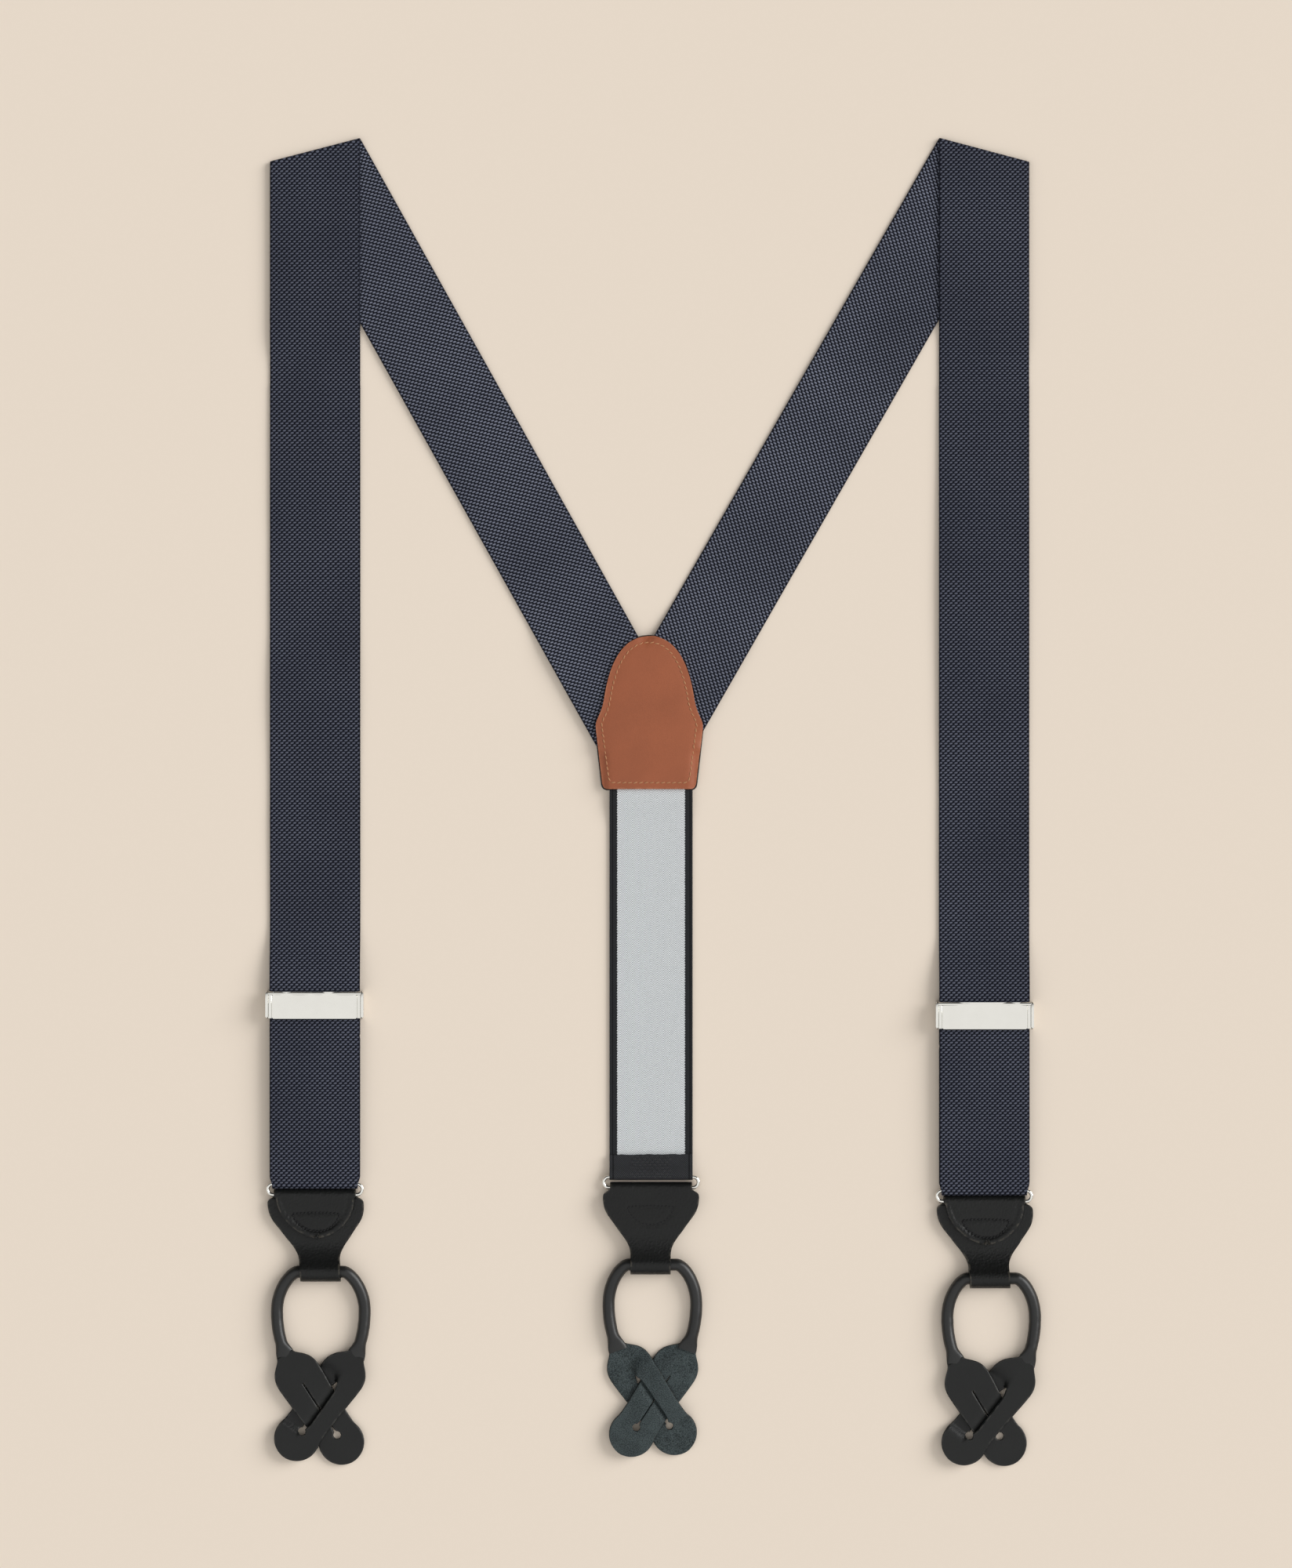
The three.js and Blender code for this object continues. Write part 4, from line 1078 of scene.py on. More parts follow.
def makePatch(leather, tan, tanThread):
    shape = patchShape
    outerLow, outerHigh = nodeBox("back_patch_outer")
    liningLow, liningHigh = nodeBox("back_patch_lining")
    outerThick = outerHigh.z - outerLow.z
    outer = layPatch("outer", 0.0, lambda x, y, gone: outerThick / 2)
    giveThickness(outer, outerThick)
    settle(outer, "back_patch_outer_leather", leather)
    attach(outer, "back_and_straps")
    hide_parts("back_patch_outer")

    liningThick = liningHigh.z - liningLow.z
    seam = []
    for side in (1, -1):
        line = [(x * side, y) for x, y in patchOutline(shape["stitchInset"])]
        seam += evenPoints(line, shape["stitchPitch"])
    seamAt = np.array([(x, y) for x, y, _ in seam])

    def liningHeight(x, y, gone):
        middle = liningLow.z + liningThick / 2
        pinch = (1 - overStrap(x, y)) * math.exp(-((gone / 3.4) ** 2)) * shape["pinch"]
        nearest = float(np.min((seamAt[:, 0] - x) ** 2 + (seamAt[:, 1] - y) ** 2))
        groove = 0.16 * math.exp(-nearest / 0.9)
        crown = 0.35 * (1 - math.exp(-((gone / 6) ** 2)))
        return middle - pinch - groove + crown

    lining = layPatch("lining", shape["liningInset"], liningHeight, 44)
    giveThickness(lining, liningThick)
    settle(lining, "back_patch_tan_lining", tan)
    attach(lining, "back_and_straps")
    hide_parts("back_patch_lining")

    places = []
    for x, y, turn in seam:
        z = liningHeight(x, y, shape["stitchInset"]) + liningThick / 2 + 0.05
        places.append((x, y, z, turn))
    stitches = addStitches(
        "back_patch_stitches", places, shape["stitchLength"], shape["stitchRadius"], slant=0.22,
    )
    settle(stitches, "back_patch_stitches", tanThread)
    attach(stitches, "back_and_straps")
    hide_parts("back_patch_seam")


# ---------- wire rings ----------
def makeRing(end, finish):
    name = end["node"] + "_ring_wire"
    centre = end["ring"]
    radius = stock["wireDia"] / 2
    bend = end["wireHalfGap"]
    half = end["ringHalfWidth"] - bend - radius
    bpy.ops.object.select_all(action="DESELECT")
    bpy.ops.mesh.primitive_circle_add(
        vertices=20, radius=radius * mm, rotation=(0, math.pi / 2, 0),
        location=((centre.x + half) * mm, (centre.y + bend) * mm, centre.z * mm),
    )
    ring = bpy.context.active_object
    bpy.ops.object.transform_apply(location=True, rotation=True, scale=True)
    edit(ring)
    for side in (1, -1):
        middle = ((centre.x + side * half) * mm, centre.y * mm, centre.z * mm)
        bpy.ops.mesh.spin(steps=24, angle=math.pi, center=middle, axis=(0, 0, 1))
        run = (-side * 2 * half * mm, 0, 0)
        bpy.ops.mesh.extrude_region_move(TRANSFORM_OT_translate={"value": run})
    bpy.ops.mesh.select_all(action="SELECT")
    bpy.ops.mesh.remove_doubles(threshold=0.005 * mm)
    bpy.ops.mesh.normals_make_consistent(inside=False)
    leaveEdit()
    bpy.ops.object.shade_smooth()
    settle(ring, name, finish)
    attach(ring, end["body"] + "_ring")
    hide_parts(end["node"] + "_ring")


# ---------- leather carriers ----------
carrierShape = {
    "width": 40.5, "foldWidth": 34.5, "reach": 38.9, "neckWidth": 16.9,
    "flapReach": 20.1, "flapWidth": 32.6, "columns": 40,
    "seamPitch": 1.55, "seamDepth": 0.30,
}


def carrierPlaces(end):
    # places that the leather and the rolled loop share, from the ring's middle
    thick, gap, wire = stock["leatherThick"], stock["layGap"], stock["wireDia"]
    foldRadius = wire / 2 + gap + thick / 2
    neckRadius = stock["cordDia"] / 2 + gap + thick / 2
    wireY = -end["wireHalfGap"]
    return {
        "neckRadius": neckRadius,
        "neckZ": thick / 2 + neckRadius,
        "neckY": foldRadius + thick / 2 + wireY - carrierShape["reach"] + neckRadius + thick / 2,
        "tip": foldRadius + thick / 2 + wireY - carrierShape["flapReach"],
        "wireY": wireY,
        "low": thick / 2,
        "middle": thick / 2 + thick + gap,
        "high": thick / 2 + 2 * (thick + gap),
    }


def halfMoon():
    # the seam through the three layers: a slightly arched top and a round bottom
    top = bezier((-10, -10.2), (-4, -9.5), (4, -9.5), (10, -10.2), 10)
    side = bezier((10, -10.2), (8, -15.6), (4, -17.6), (0, -17.6), 12)
    other = [(-x, y) for x, y in reversed(side)]
    return top + side[1:] + other[1:]


def makeCarrier(end, leather, thread):
    shape, at = carrierShape, carrierPlaces(end)
    name = end["node"] + "_leather_carrier"
    thick = stock["leatherThick"]
    neckY, neckZ, neckRadius = at["neckY"], at["neckZ"], at["neckRadius"]
    widest, neck, fold = shape["width"] / 2, shape["neckWidth"] / 2, shape["foldWidth"] / 2
    flat = shape["flapWidth"] / 2
    bell = [(neck, neckY - 8), (neck, neckY + 4.5)]
    bell += bezier(
        (neck, neckY + 4.5), (neck, neckY + 9), (neck + 4, neckY + 12.5), (neck + 6.2, neckY + 16))[1:]
    bell += bezier(
        (neck + 6.2, neckY + 16), (neck + 9, neckY + 20.2), (widest, neckY + 22), (widest, neckY + 28.4))[1:]
    bell += bezier(
        (widest, neckY + 28.4), (widest, neckY + 30), (widest - 0.6, -3.9), (widest - 2.4, -3.7))[1:]
    bell += [(fold, -3.6), (fold, 6.0)]
    flap = bezier((0, at["tip"]), (7.5, at["tip"]), (flat, at["tip"] + 7.5), (flat, -3.6), 20)
    flap += [(fold, -3.0), (fold, 6.0)]
    bell, flap = np.array(bell), np.array(flap)

    # the leather's side view: flap, over the wire, down to the neck, round the cord and up again
    down = end["faceDown"]
    flapZ = at["low"] if down else at["high"]
    backZ = at["high"] if down else at["low"]
    topZ = at["high"] if down else at["middle"]
    wireTurn = 180 if down else -180
    ringZ = end["ring"].z
    rise = (at["high"] - at["low"]) / 2
    leave = math.radians(55)
    leaveY = neckY + neckRadius * math.cos(leave)
    leaveZ = neckZ + neckRadius * math.sin(leave)

    route = Route(at["tip"], flapZ)
    route.run(at["wireY"], flapZ, 34, 1.6)
    flapRows = len(route.points)
    route.turn(at["wireY"], at["low"] + rise, wireTurn, 10)
    if down:
        # the plain side lies on top: from the wire over the cord, under it and up between the layers
        route.run(neckY + 13.5, backZ, 22)
        easeOver(route, leaveY, leaveZ, 8)
        route.turn(neckY, neckZ, 270 - 55, 22)
        route.run(neckY + 7, at["low"], 4)
        route.ease(neckY + 12, at["middle"], 6)
        route.run(at["wireY"] - 1.15, at["middle"], 20)
    else:
        route.run(neckY, at["low"], 34)
        route.turn(neckY, neckZ, -(270 - 55), 22)
        easeOver(route, neckY + 13.5, topZ, 8, falling=True)
        route.run(at["wireY"] - 1.15, topZ, 22)
    lengths = route.lengths()
    leanPer = end["lean"] / (at["wireY"] - neckY)
    seamAt = np.array([(x, y) for x, y, _ in evenPoints(halfMoon(), 0.5)])
    flapEdge = np.array([(x, y) for x, y, _ in evenPoints([tuple(p) for p in flap], 0.2)])

    def place(share, row):
        y, z = route.points[row]
        outline = flap if row < flapRows else bell
        half = float(np.interp(y + (0.02 if row == 0 else 0), outline[:, 1], outline[:, 0]))
        x = spread(share) * half
        gone = half - abs(x)
        if row < flapRows:
            away = (flapEdge[:, 0] - abs(x)) ** 2 + (flapEdge[:, 1] - y) ** 2
            gone = min(gone, math.sqrt(float(np.min(away))))
        pressed = 0.0
        nearest = float(np.min((seamAt[:, 0] - x) ** 2 + (seamAt[:, 1] - y) ** 2))
        groove = shape["seamDepth"] * math.exp(-nearest / 0.8)
        if not down and row < flapRows:
            rim = math.exp(-(((gone - 1.0) / 0.8) ** 2)) * smooth(-3.5, -6, y)
            pressed = groove - 0.2 * rim + 0.12 * math.exp(-(((gone - 2.4) / 0.7) ** 2))
        if down and flapRows + 8 < row < flapRows + 34 and z > at["middle"]:
            pressed = groove * 0.6
        below = max(at["wireY"] - y, 0)
        return (
            (end["ring"].x + x + leanPer * below, end["ring"].y + y, z - pressed),
            (x, lengths[row]),
            gone,
        )

    sheet = laySheet(name, len(route.points) - 1, shape["columns"], place)
    weld(sheet, 0.005)
    giveThickness(sheet, thick)
    settle(sheet, name, leather)
    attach(sheet, end["body"] + "_carrier")
    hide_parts(end["node"] + "_carrier")

    places = []
    top = at["high"] + thick / 2
    for x, y, turn in evenPoints(halfMoon(), shape["seamPitch"]):
        below = at["wireY"] - y
        z = top - shape["seamDepth"] * (0.6 if down else 1.0) + (0.02 if down else 0.08)
        places.append((end["ring"].x + x + leanPer * below, end["ring"].y + y, z, turn))
    size = (0.9, 0.26) if down else (1.2, 0.42)
    stitches = addStitches(end["node"] + "_carrier_stitches", places, *size, slant=0.35)
    settle(stitches, end["node"] + "_carrier_stitches", thread)
    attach(stitches, end["body"] + "_carrier")
    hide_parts(end["node"] + "_carrier_seam")


def easeOver(route, y, z, steps, falling=False):
    # the front layer runs on to the round of the cord without a kink: level at one end, steep at the other
    y0, z0 = route.points[-1]
    for step in range(1, steps + 1):
        share = step / steps
        rise = 1 - (1 - share) ** 2.1 if falling else share ** 2.1
        route.points.append((y0 + (y - y0) * share, z0 + (z - z0) * rise))


# ---------- rolled loops ----------
loopShape = {"width": 42.0, "drop": 33.3, "rootIn": 2.95, "sides": 24, "coreDia": 2.8}
tabShape = {
    "width": 20.0, "discDia": 19.4, "leatherThick": 1.2, "liningThick": 0.7,
    "slit": 2.6, "closed": 0.3, "slitStart": 14.7, "holeDia": 3.2, "holeBack": 3.4, "rootGap": 1.3,
}
tabThick = tabShape["leatherThick"] + tabShape["liningThick"] + stock["layGap"]
tabStep = tabThick + stock["layGap"]


def loopOrigin(end):
    at = carrierPlaces(end)
    return Vector((end["ring"].x + end["lean"] + end["slide"], end["ring"].y + at["neckY"], 0))


def loopRoute(end):
    at, shape = carrierPlaces(end), loopShape
    half = (shape["width"] - stock["cordDia"]) / 2
    straight = carrierShape["neckWidth"] / 2 + 0.7 + abs(end["slide"])
    droop = stock["cordDia"] / 2 - at["neckZ"]
    rootRise = droop if end["faceDown"] else tabStep + tabThick / 2 - at["neckZ"]
    rootX = half - shape["rootIn"]
    mid = -shape["drop"] / 2
    sides = []
    for s in (-1, 1):
        down = bezier(
            (s * straight, 0, 0), (s * (straight + 3.0), 0, 0),
            (s * half, mid + 9.4, droop * 0.9), (s * half, mid, droop), 26,
        )
        inward = bezier(
            (s * half, mid, droop), (s * half, mid - 7, droop),
            (s * (rootX + 1.7), 4.6 - shape["drop"], rootRise), (s * rootX, -shape["drop"], rootRise), 22,
        )
        sides.append(down + inward[1:])
    left, right = sides
    across = [(x, 0, 0) for x in np.linspace(-straight, straight, 14)[1:-1]]
    return list(reversed(left)) + across + right


def layTube(name, line, sizes, sides):
    # a flat sheet rolled round a line; sizes gives each row's half width and half height
    line = [Vector(point) for point in line]
    count = len(line)
    lengths = [0.0]
    for a, b in zip(line, line[1:]):
        lengths.append(lengths[-1] + (b - a).length)
    up = Vector((0, 0, 1))

    def place(share, row):
        ahead = line[min(row + 1, count - 1)] - line[max(row - 1, 0)]
        side = ahead.cross(up).normalized()
        lift = side.cross(ahead).normalized()
        wide, high = sizes[row]
        angle = share * math.pi
        spot = line[row] + side * wide * math.sin(angle) + lift * high * math.cos(angle)
        return spot, (share * math.pi * stock["cordDia"] / 2, lengths[row]), 5.0

    tube = laySheet(name, count - 1, sides, place)
    edit(tube)
    bpy.ops.mesh.remove_doubles(threshold=0.004 * mm)
    bpy.ops.mesh.select_all(action="DESELECT")
    bpy.ops.mesh.select_non_manifold()
    bpy.ops.mesh.fill_holes(sides=0)
    bpy.ops.mesh.select_all(action="SELECT")
    bpy.ops.mesh.normals_make_consistent(inside=False)
    leaveEdit()
    bpy.ops.object.shade_smooth_by_angle(angle=math.radians(50))
    return tube


def makeLoop(end, leather, core):
    at = carrierPlaces(end)
    origin = loopOrigin(end) + Vector((0, 0, at["neckZ"]))
    line = [Vector(point) + origin for point in loopRoute(end)]
    # the rolled leather opens out flat just past the end of its cord
    for side in (0, -1):
        direction = (line[side] - line[1 if side == 0 else -2]).normalized()
        more = [line[side] + direction * d for d in (0.8, 1.6, 2.4, 3.2)]
        line = list(reversed(more)) + line if side == 0 else line + more
    total = len(line)
    radius = stock["cordDia"] / 2
    sizes = []
    for row in range(total):
        fromEnd = min(row, total - 1 - row)
        wrinkle = 1 + 0.03 * noise.noise(Vector((row * 0.35, end["ring"].x, 0)))
        share = max(1 - fromEnd / 10, 0)
        flare = share * share * (3 - 2 * share)
        wide = radius * wrinkle + 1.5 * flare
        high = radius * wrinkle * (1 - flare) + tabThick / 2 * flare * 0.96
        sizes.append((wide, high))
    name = end["node"] + "_rolled_leather"
    tube = layTube(name, line, sizes, loopShape["sides"])
    settle(tube, name, leather)
    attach(tube, end["body"] + "_loop")
    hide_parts(end["node"] + "_rolled_loop")

    inner = line[8:-8]
    coreRadius = loopShape["coreDia"] / 2
    name = end["node"] + "_cord_core"
    cord = layTube(name, inner, [(coreRadius, coreRadius)] * len(inner), 10)
    settle(cord, name, core)
    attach(cord, end["body"] + "_loop")
    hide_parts(end["node"] + "_loop_core")


# ---------- buttonhole tabs ----------
def tabRows(length):
    # rows are close where the outline turns sharply: root, slit's start, hole and the disc's end
    shape = tabShape
    disc = shape["discDia"] / 2
    hole = length - shape["holeBack"]
    holeR = shape["holeDia"] / 2
    start = shape["slitStart"]
    rows = [0, 1, 2, 3, 4.2, 5.6, 7.2, 9, 11, 13]
    rows += [start - 0.9, start - 0.3, start, start + 0.12, start + 0.45, start + 1.2]
    rows += list(np.arange(start + 2.6, hole - holeR - 0.4, 1.7))
    rows += [hole - holeR * math.cos(a) for a in np.linspace(0.3, math.pi, 12)]
    rows += [hole + holeR + 0.35]
    tipStart = hole + holeR + 1.0
    rows += [tipStart + (length + disc - tipStart) * math.sin(t * math.pi / 2) for t in np.linspace(0, 1, 12)]
    return rows


def tabOutline(length):
    shape = tabShape
    half, disc, root = shape["width"] / 2, shape["discDia"] / 2, stock["cordDia"] / 2 + 1
    meet = math.radians(70)
    meetX, meetY = length - disc * math.cos(meet), disc * math.sin(meet)
    line = bezier((0, root), (2.5, root), (4, half), (11, half))
    line += bezier((11, half), (18, half), (meetX - 6, meetY - 1), (meetX, meetY))[1:]
    line += [(length - disc * math.cos(a), disc * math.sin(a)) for a in np.linspace(meet, math.pi, 30)[1:]]
    return np.array(line)


def slitPassage(turns):
    # the stretch of tab b that tab a lies across, from b's root
    a, b = turns["a"], turns["b"]
    alongA = (a["disc"] - a["root"]).normalized()
    alongB = (b["disc"] - b["root"]).normalized()
    between = b["root"] - a["root"]
    crossing = (between.x * alongA.y - between.y * alongA.x) / (alongA.x * alongB.y - alongA.y * alongB.x)
    angle = abs(a["turn"] - b["turn"])
    half = tabShape["width"] / 2
    lean = abs(half / math.tan(angle))
    return crossing - half / math.sin(angle) - lean, crossing + half / math.sin(angle)


def slitHalf(u, length, passage):
    # a plain cut is nearly closed; where the other tab goes through, it stands open
    shape = tabShape
    holeR = shape["holeDia"] / 2
    hole = length - shape["holeBack"]
    start = shape["slitStart"]
    gap = shape["closed"] / 2
    if passage:
        opened = smooth(start, start + 4, u) * (1 - smooth(passage[1] - 3, hole, u))
        gap += (shape["slit"] - shape["closed"]) / 2 * opened
    if u <= start:
        return 0.0
    if u >= hole + holeR - 1e-6:
        return 0.0
    roundHole = math.sqrt(max(holeR ** 2 - (u - hole) ** 2, 0))
    if u > hole:
        return roundHole
    opening = min((u - start) / 1.1, 1)
    return max(gap * math.sqrt(1 - (1 - opening) ** 2), roundHole)


def tabTurns(end):
    rootX = (loopShape["width"] - stock["cordDia"]) / 2 - loopShape["rootIn"]
    rootY = -loopShape["drop"] - tabShape["rootGap"]
    turns = {}
    for letter, x in (("a", -rootX), ("b", rootX)):
        root, disc = Vector((x, rootY)), Vector(end["discs"][letter])
        turns[letter] = {"root": root, "disc": disc, "length": (disc - root).length,
                         "turn": math.atan2(disc.y - root.y, disc.x - root.x)}
    return turns


def smooth(low, high, value):
    share = min(max((value - low) / (high - low), 0), 1)
    return share * share * (3 - 2 * share)


def tabLift(letter, turns, spot, local):
    # height of a tab's underside: tab a goes over b's first strand and comes down through b's slit,
    # and b's first strand dips under a
    a, b = turns["a"], turns["b"]
    gap = tabShape["slit"] / 2
    if letter == "a":
        away = spot - b["root"]
        direction = Vector((math.cos(b["turn"] - math.pi / 2), math.sin(b["turn"] - math.pi / 2)))
        return tabStep * smooth(-gap, gap, away.dot(direction))
    u, v = local
    first, last = slitPassage(turns)
    dip = smooth(first - 5, first - 0.5, u) * (1 - smooth(last + 0.5, last + 4.7, u))
    start = tabShape["slitStart"]
    across = 0.05 + 4 * (1 - smooth(start - 3, start, u))
    return tabStep * (1 - dip * smooth(0, across, -v))


def layTab(end, letter, turns, name, offset, thick, shrink):
    tab = turns[letter]
    length = tab["length"]
    rows, outline = tabRows(length), tabOutline(length)
    c, s = math.cos(tab["turn"]), math.sin(tab["turn"])
    origin = loopOrigin(end)
    total = tabThick + tabStep
    halves = []
    passage = slitPassage(turns) if letter == "b" else None
    for side in (-1, 1):
        def place(share, row):
            u = rows[row]
            outer = float(np.interp(min(u, rows[-1] - 0.02), outline[:, 0], outline[:, 1]))
            inner = slitHalf(u, length, passage)
            step = (share + 1) / 2
            eased = (1 - math.cos(step * math.pi)) / 2
            v = side * (inner + (max(outer - shrink, inner) - inner) * (0.5 * eased + 0.5 * step))
            spot = tab["root"] + Vector((u * c - v * s, u * s + v * c))
            z = offset + thick / 2 + tabLift(letter, turns, spot, (u, v))
            x = spot.x
            if end["faceDown"]:
                x, z = -x, total - z
            inset = min(outer - abs(v), abs(v) - inner if inner > 0.05 else 9.0, length + 9.7 - u)
            return (origin.x + x, origin.y + spot.y, z), (v, u), inset

        halves.append(laySheet(name, len(rows) - 1, 9, place))
    sheet = joinPieces(halves, name)
    edit(sheet)
    bpy.ops.mesh.remove_doubles(threshold=0.006 * mm)
    bpy.ops.mesh.normals_make_consistent(inside=False)
    leaveEdit()
    giveThickness(sheet, thick)
    return sheet


def makeTabs(end, leather, lining):
    turns = tabTurns(end)
    shape = tabShape
    layers = [
        ("tab", "leather", shape["liningThick"] + stock["layGap"], shape["leatherThick"], leather,
         "smooth_black_leather", 0.0),
        ("tab_lining", "lining", 0.0, shape["liningThick"], lining, "tab_lining", 0.15),
    ]
    for letter in ("a", "b"):
        for node, word, offset, thick, finish, slot, shrink in layers:
            name = f"{end['node']}_tab_{letter}_{word}"
            sheet = layTab(end, letter, turns, name, offset, thick, shrink)
            settle(sheet, name, finish)
            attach(sheet, end["body"] + "_loop")
            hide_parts(f"{end['node']}_{node}_{letter}")


# ---------- adjusters ----------
clipShape = {
    "sheet": 0.6, "plateThick": 0.7, "coverWidth": 34.9, "coverThick": 1.0,
    "pinDia": 0.9, "teeth": 9, "faceRound": 0.45,
}


def makeAdjuster(end, nickel):
    shape = clipShape
    centre, size = end["clip"], end["clipSize"]
    x, y = centre.x, centre.y
    outer = size.x / 2
    half = size.y / 2
    _, leverHigh = nodeBox(end["node"] + "_adjuster_lever")
    pinLow, pinHigh = nodeBox(end["node"] + "_adjuster_pin")
    pin = (pinLow + pinHigh) / 2

    # frame: the plate that the strap's end turns round, between two side ears
    plateZ = stock["webbingThick"] + stock["layGap"] + shape["plateThick"] / 2
    plateTop, plateBottom = half - 1.5, 1 - half
    plateY, plateTall = y + (plateTop + plateBottom) / 2, plateTop - plateBottom
    plate = box(x, plateY, plateZ, size.x - 0.4, plateTall, shape["plateThick"])
    roundEdges(plate, 0.15)
    parts = [plate]
    for side in (-1, 1):
        earX = x + side * (outer - shape["sheet"] / 2)
        top = leverHigh.z + 0.05
        ear = box(earX, y, (0.35 + top) / 2, shape["sheet"], size.y, top - 0.35)
        edit(ear)
        # the upper corners are cut back in a round, as the stamping die leaves them
        bpy.ops.mesh.select_all(action="DESELECT")
        leaveEdit()
        for edge in ear.data.edges:
            a, b = (ear.data.vertices[i].co for i in edge.vertices)
            edge.select = abs(a.x - b.x) > 0.0003 and min(a.z, b.z) > 0.003
        bpy.ops.object.mode_set(mode="EDIT")
        bpy.ops.mesh.select_mode(type="EDGE")
        bpy.ops.mesh.bevel(offset=0.9 * mm, segments=5, affect="EDGES")
        leaveEdit()
        roundEdges(ear, 0.14, 2)
        parts.append(ear)
    frameBody = joinPieces(parts, end["node"] + "_adjuster_body")
    settle(frameBody, end["node"] + "_adjuster_body", nickel)
    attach(frameBody, end["body"] + "_adjuster")
    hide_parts(end["node"] + "_adjuster_frame")

    hinge = rod(pin.x, pin.y, pin.z, pinHigh.x - pinLow.x, shape["pinDia"] / 2)
    roundEdges(hinge, 0.12, 2)
    settle(hinge, end["node"] + "_adjuster_hinge_pin", nickel)
    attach(hinge, end["body"] + "_adjuster")
    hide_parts(end["node"] + "_adjuster_pin")

    # lever: a polished face, a step down to a rounded wing at each side, a barrel round the pin and teeth
    top = leverHigh.z
    thick = shape["coverThick"]
    bottomY, topY = y - half, pin.y + 0.72   # the face clears the strap as it swings over the pin
    face = box(x, (bottomY + topY) / 2, top - thick / 2, shape["coverWidth"], topY - bottomY, thick)
    edit(face)
    bpy.ops.mesh.subdivide(number_cuts=23)
    leaveEdit()
    for vertex in face.data.vertices:
        # the face is very slightly crowned from end to end and from top to bottom
        fromX = (vertex.co.x / mm - x) / (shape["coverWidth"] / 2)
        fromY = (vertex.co.y / mm - y) / half
        if vertex.co.z / mm > top - thick / 2:
            vertex.co.z -= (0.08 * fromX ** 6 + 0.05 * fromY ** 6) * mm
            # and rolls over unevenly along its upper edge, and at its lower corners
            ripple = smooth(-0.12, 0.3, noise.noise(Vector((vertex.co.x * 210, end["ring"].x, 0.4))))
            vertex.co.z -= 0.45 * max(fromY - 0.25, 0) ** 2 / 0.56 * ripple * mm
            corner = max(abs(fromX) - 0.8, 0) * max(-fromY - 0.6, 0) / 0.08
            vertex.co.z -= 0.25 * corner * mm
    roundEdges(face, shape["faceRound"], 4)
    parts = [face]
    wingOut = outer - shape["sheet"] - 0.25
    for side in (-1, 1):
        inner = shape["coverWidth"] / 2 + 0.45
        wing = box(
            x + side * (inner + wingOut) / 2, (bottomY + topY) / 2, top - thick / 2 - 0.12,
            wingOut - inner, topY - bottomY - 0.2, thick - 0.25,
        )
        roundEdges(wing, 0.34, 5)
        parts.append(wing)
        web = box(
            x + side * (shape["coverWidth"] / 2 + 0.2), (bottomY + topY) / 2, top - 0.78,
            1.0, topY - bottomY - 0.6, 0.36,
        )
        parts.append(web)
    barrelRadius = shape["pinDia"] / 2 + 0.46
    barrel = rod(x, pin.y, pin.z, 2 * wingOut, barrelRadius)
    roundEdges(barrel, 0.1, 2)
    parts.append(barrel)
    pitch = (stock["webbingWidth"] - 4) / shape["teeth"]
    for tooth in range(shape["teeth"]):
        toothX = x + (tooth - (shape["teeth"] - 1) / 2) * pitch
        bpy.ops.object.select_all(action="DESELECT")
        bpy.ops.mesh.primitive_cone_add(
            vertices=4, radius1=0.9 * mm, depth=0.8 * mm, rotation=(math.pi, 0, 0),
            location=(toothX * mm, (pin.y - 2.6) * mm, (top - thick - 0.15) * mm),
        )
        parts.append(bpy.context.active_object)
    lever = joinPieces(parts, end["node"] + "_adjuster_cover")
    settle(lever, end["node"] + "_adjuster_cover", nickel)
    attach(lever, end["body"] + "_lever")
    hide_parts(end["node"] + "_adjuster_lever")


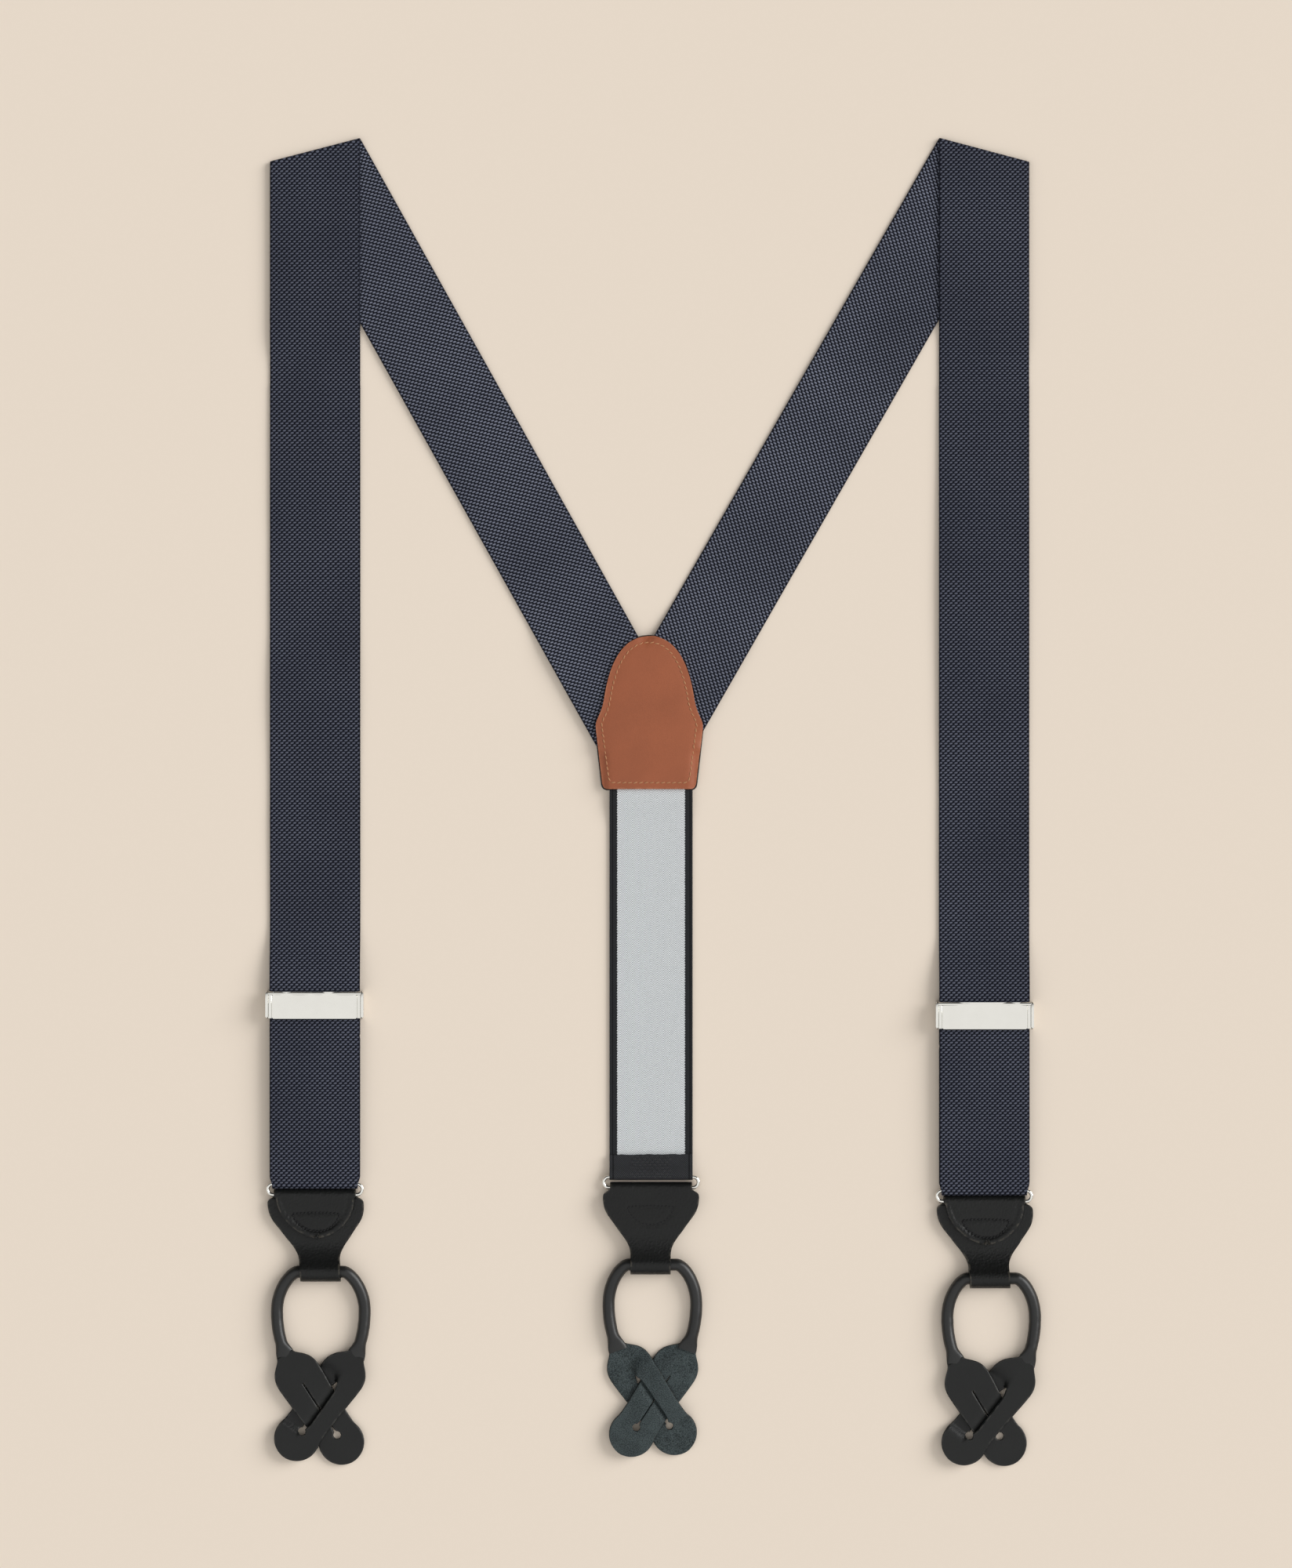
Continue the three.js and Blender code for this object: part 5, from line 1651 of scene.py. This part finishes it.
# ---------- the whole ----------
bpy.context.scene.view_settings.view_transform = "Standard"
makeCamera()
makeLight()
makeFloor()
print("studio is set")

webbing = webbingFinish("navy webbing, outer side", webbingLook["light"])
innerWebbing = webbingFinish("navy webbing, inner side", webbingLook["innerLight"])
paleElastic = elasticFinish()
blackElastic = elasticFaceFinish()
# each leather's third argument is the paler colour of its cut edges: wear and a painted edge highlight
carrierLeather = leatherFinish(
    "black carrier leather", (0.0055, 0.0059, 0.0056), (0.085, 0.075, 0.06), 0.9 * mm, 0.22 * mm, 0.40, 0.6)
tabLeather = leatherFinish(
    "smooth black tab leather", (0.0088, 0.0093, 0.009), (0.06, 0.058, 0.052), 0.7 * mm, 0.08 * mm, 0.40, 0.5)
tanLeather = leatherFinish(
    "tan lining leather", (0.345, 0.102, 0.044), (0.46, 0.17, 0.085), 0.8 * mm, 0.05 * mm, 0.50, 0.22)
rolledLeather = rolledFinish()
tabLining = liningFinish()
nickel = nickelFinish()
blackThread = threadFinish("black thread", (0.004, 0.004, 0.0045), (0.016, 0.016, 0.017))
tackThread = threadFinish("black tacking thread", (0.008, 0.008, 0.009), (0.055, 0.056, 0.060))
tanThread = threadFinish("tan thread", (0.30, 0.115, 0.05), (0.62, 0.33, 0.17))
coreThread = threadFinish("undyed cord core", (0.45, 0.41, 0.33), (0.72, 0.68, 0.58))

for end in ends:
    makeRing(end, nickel)
print("rings are bent")
for end in ends:
    if not end["faceDown"]:
        makeAdjuster(end, nickel)
print("adjusters are built")
for end in ends:
    if not end["faceDown"]:
        makeShoulder(end, webbing, innerWebbing)
        makeFrontRun(end, webbing)
        makeLowerWebbing(end, webbing)
        makeSewnEnd(end, webbing)
        makeEndSeam(end, blackThread)
    else:
        makeElastic(end, paleElastic, blackElastic)
        makeBarTack(end, tackThread)
print("straps and elastic are laid")
makePatch(carrierLeather, tanLeather, tanThread)
print("back patch is sewn")
for end in ends:
    makeCarrier(end, carrierLeather, blackThread)
    makeLoop(end, rolledLeather, coreThread)
    makeTabs(end, tabLeather, tabLining)
print("carriers, loops and tabs are made")
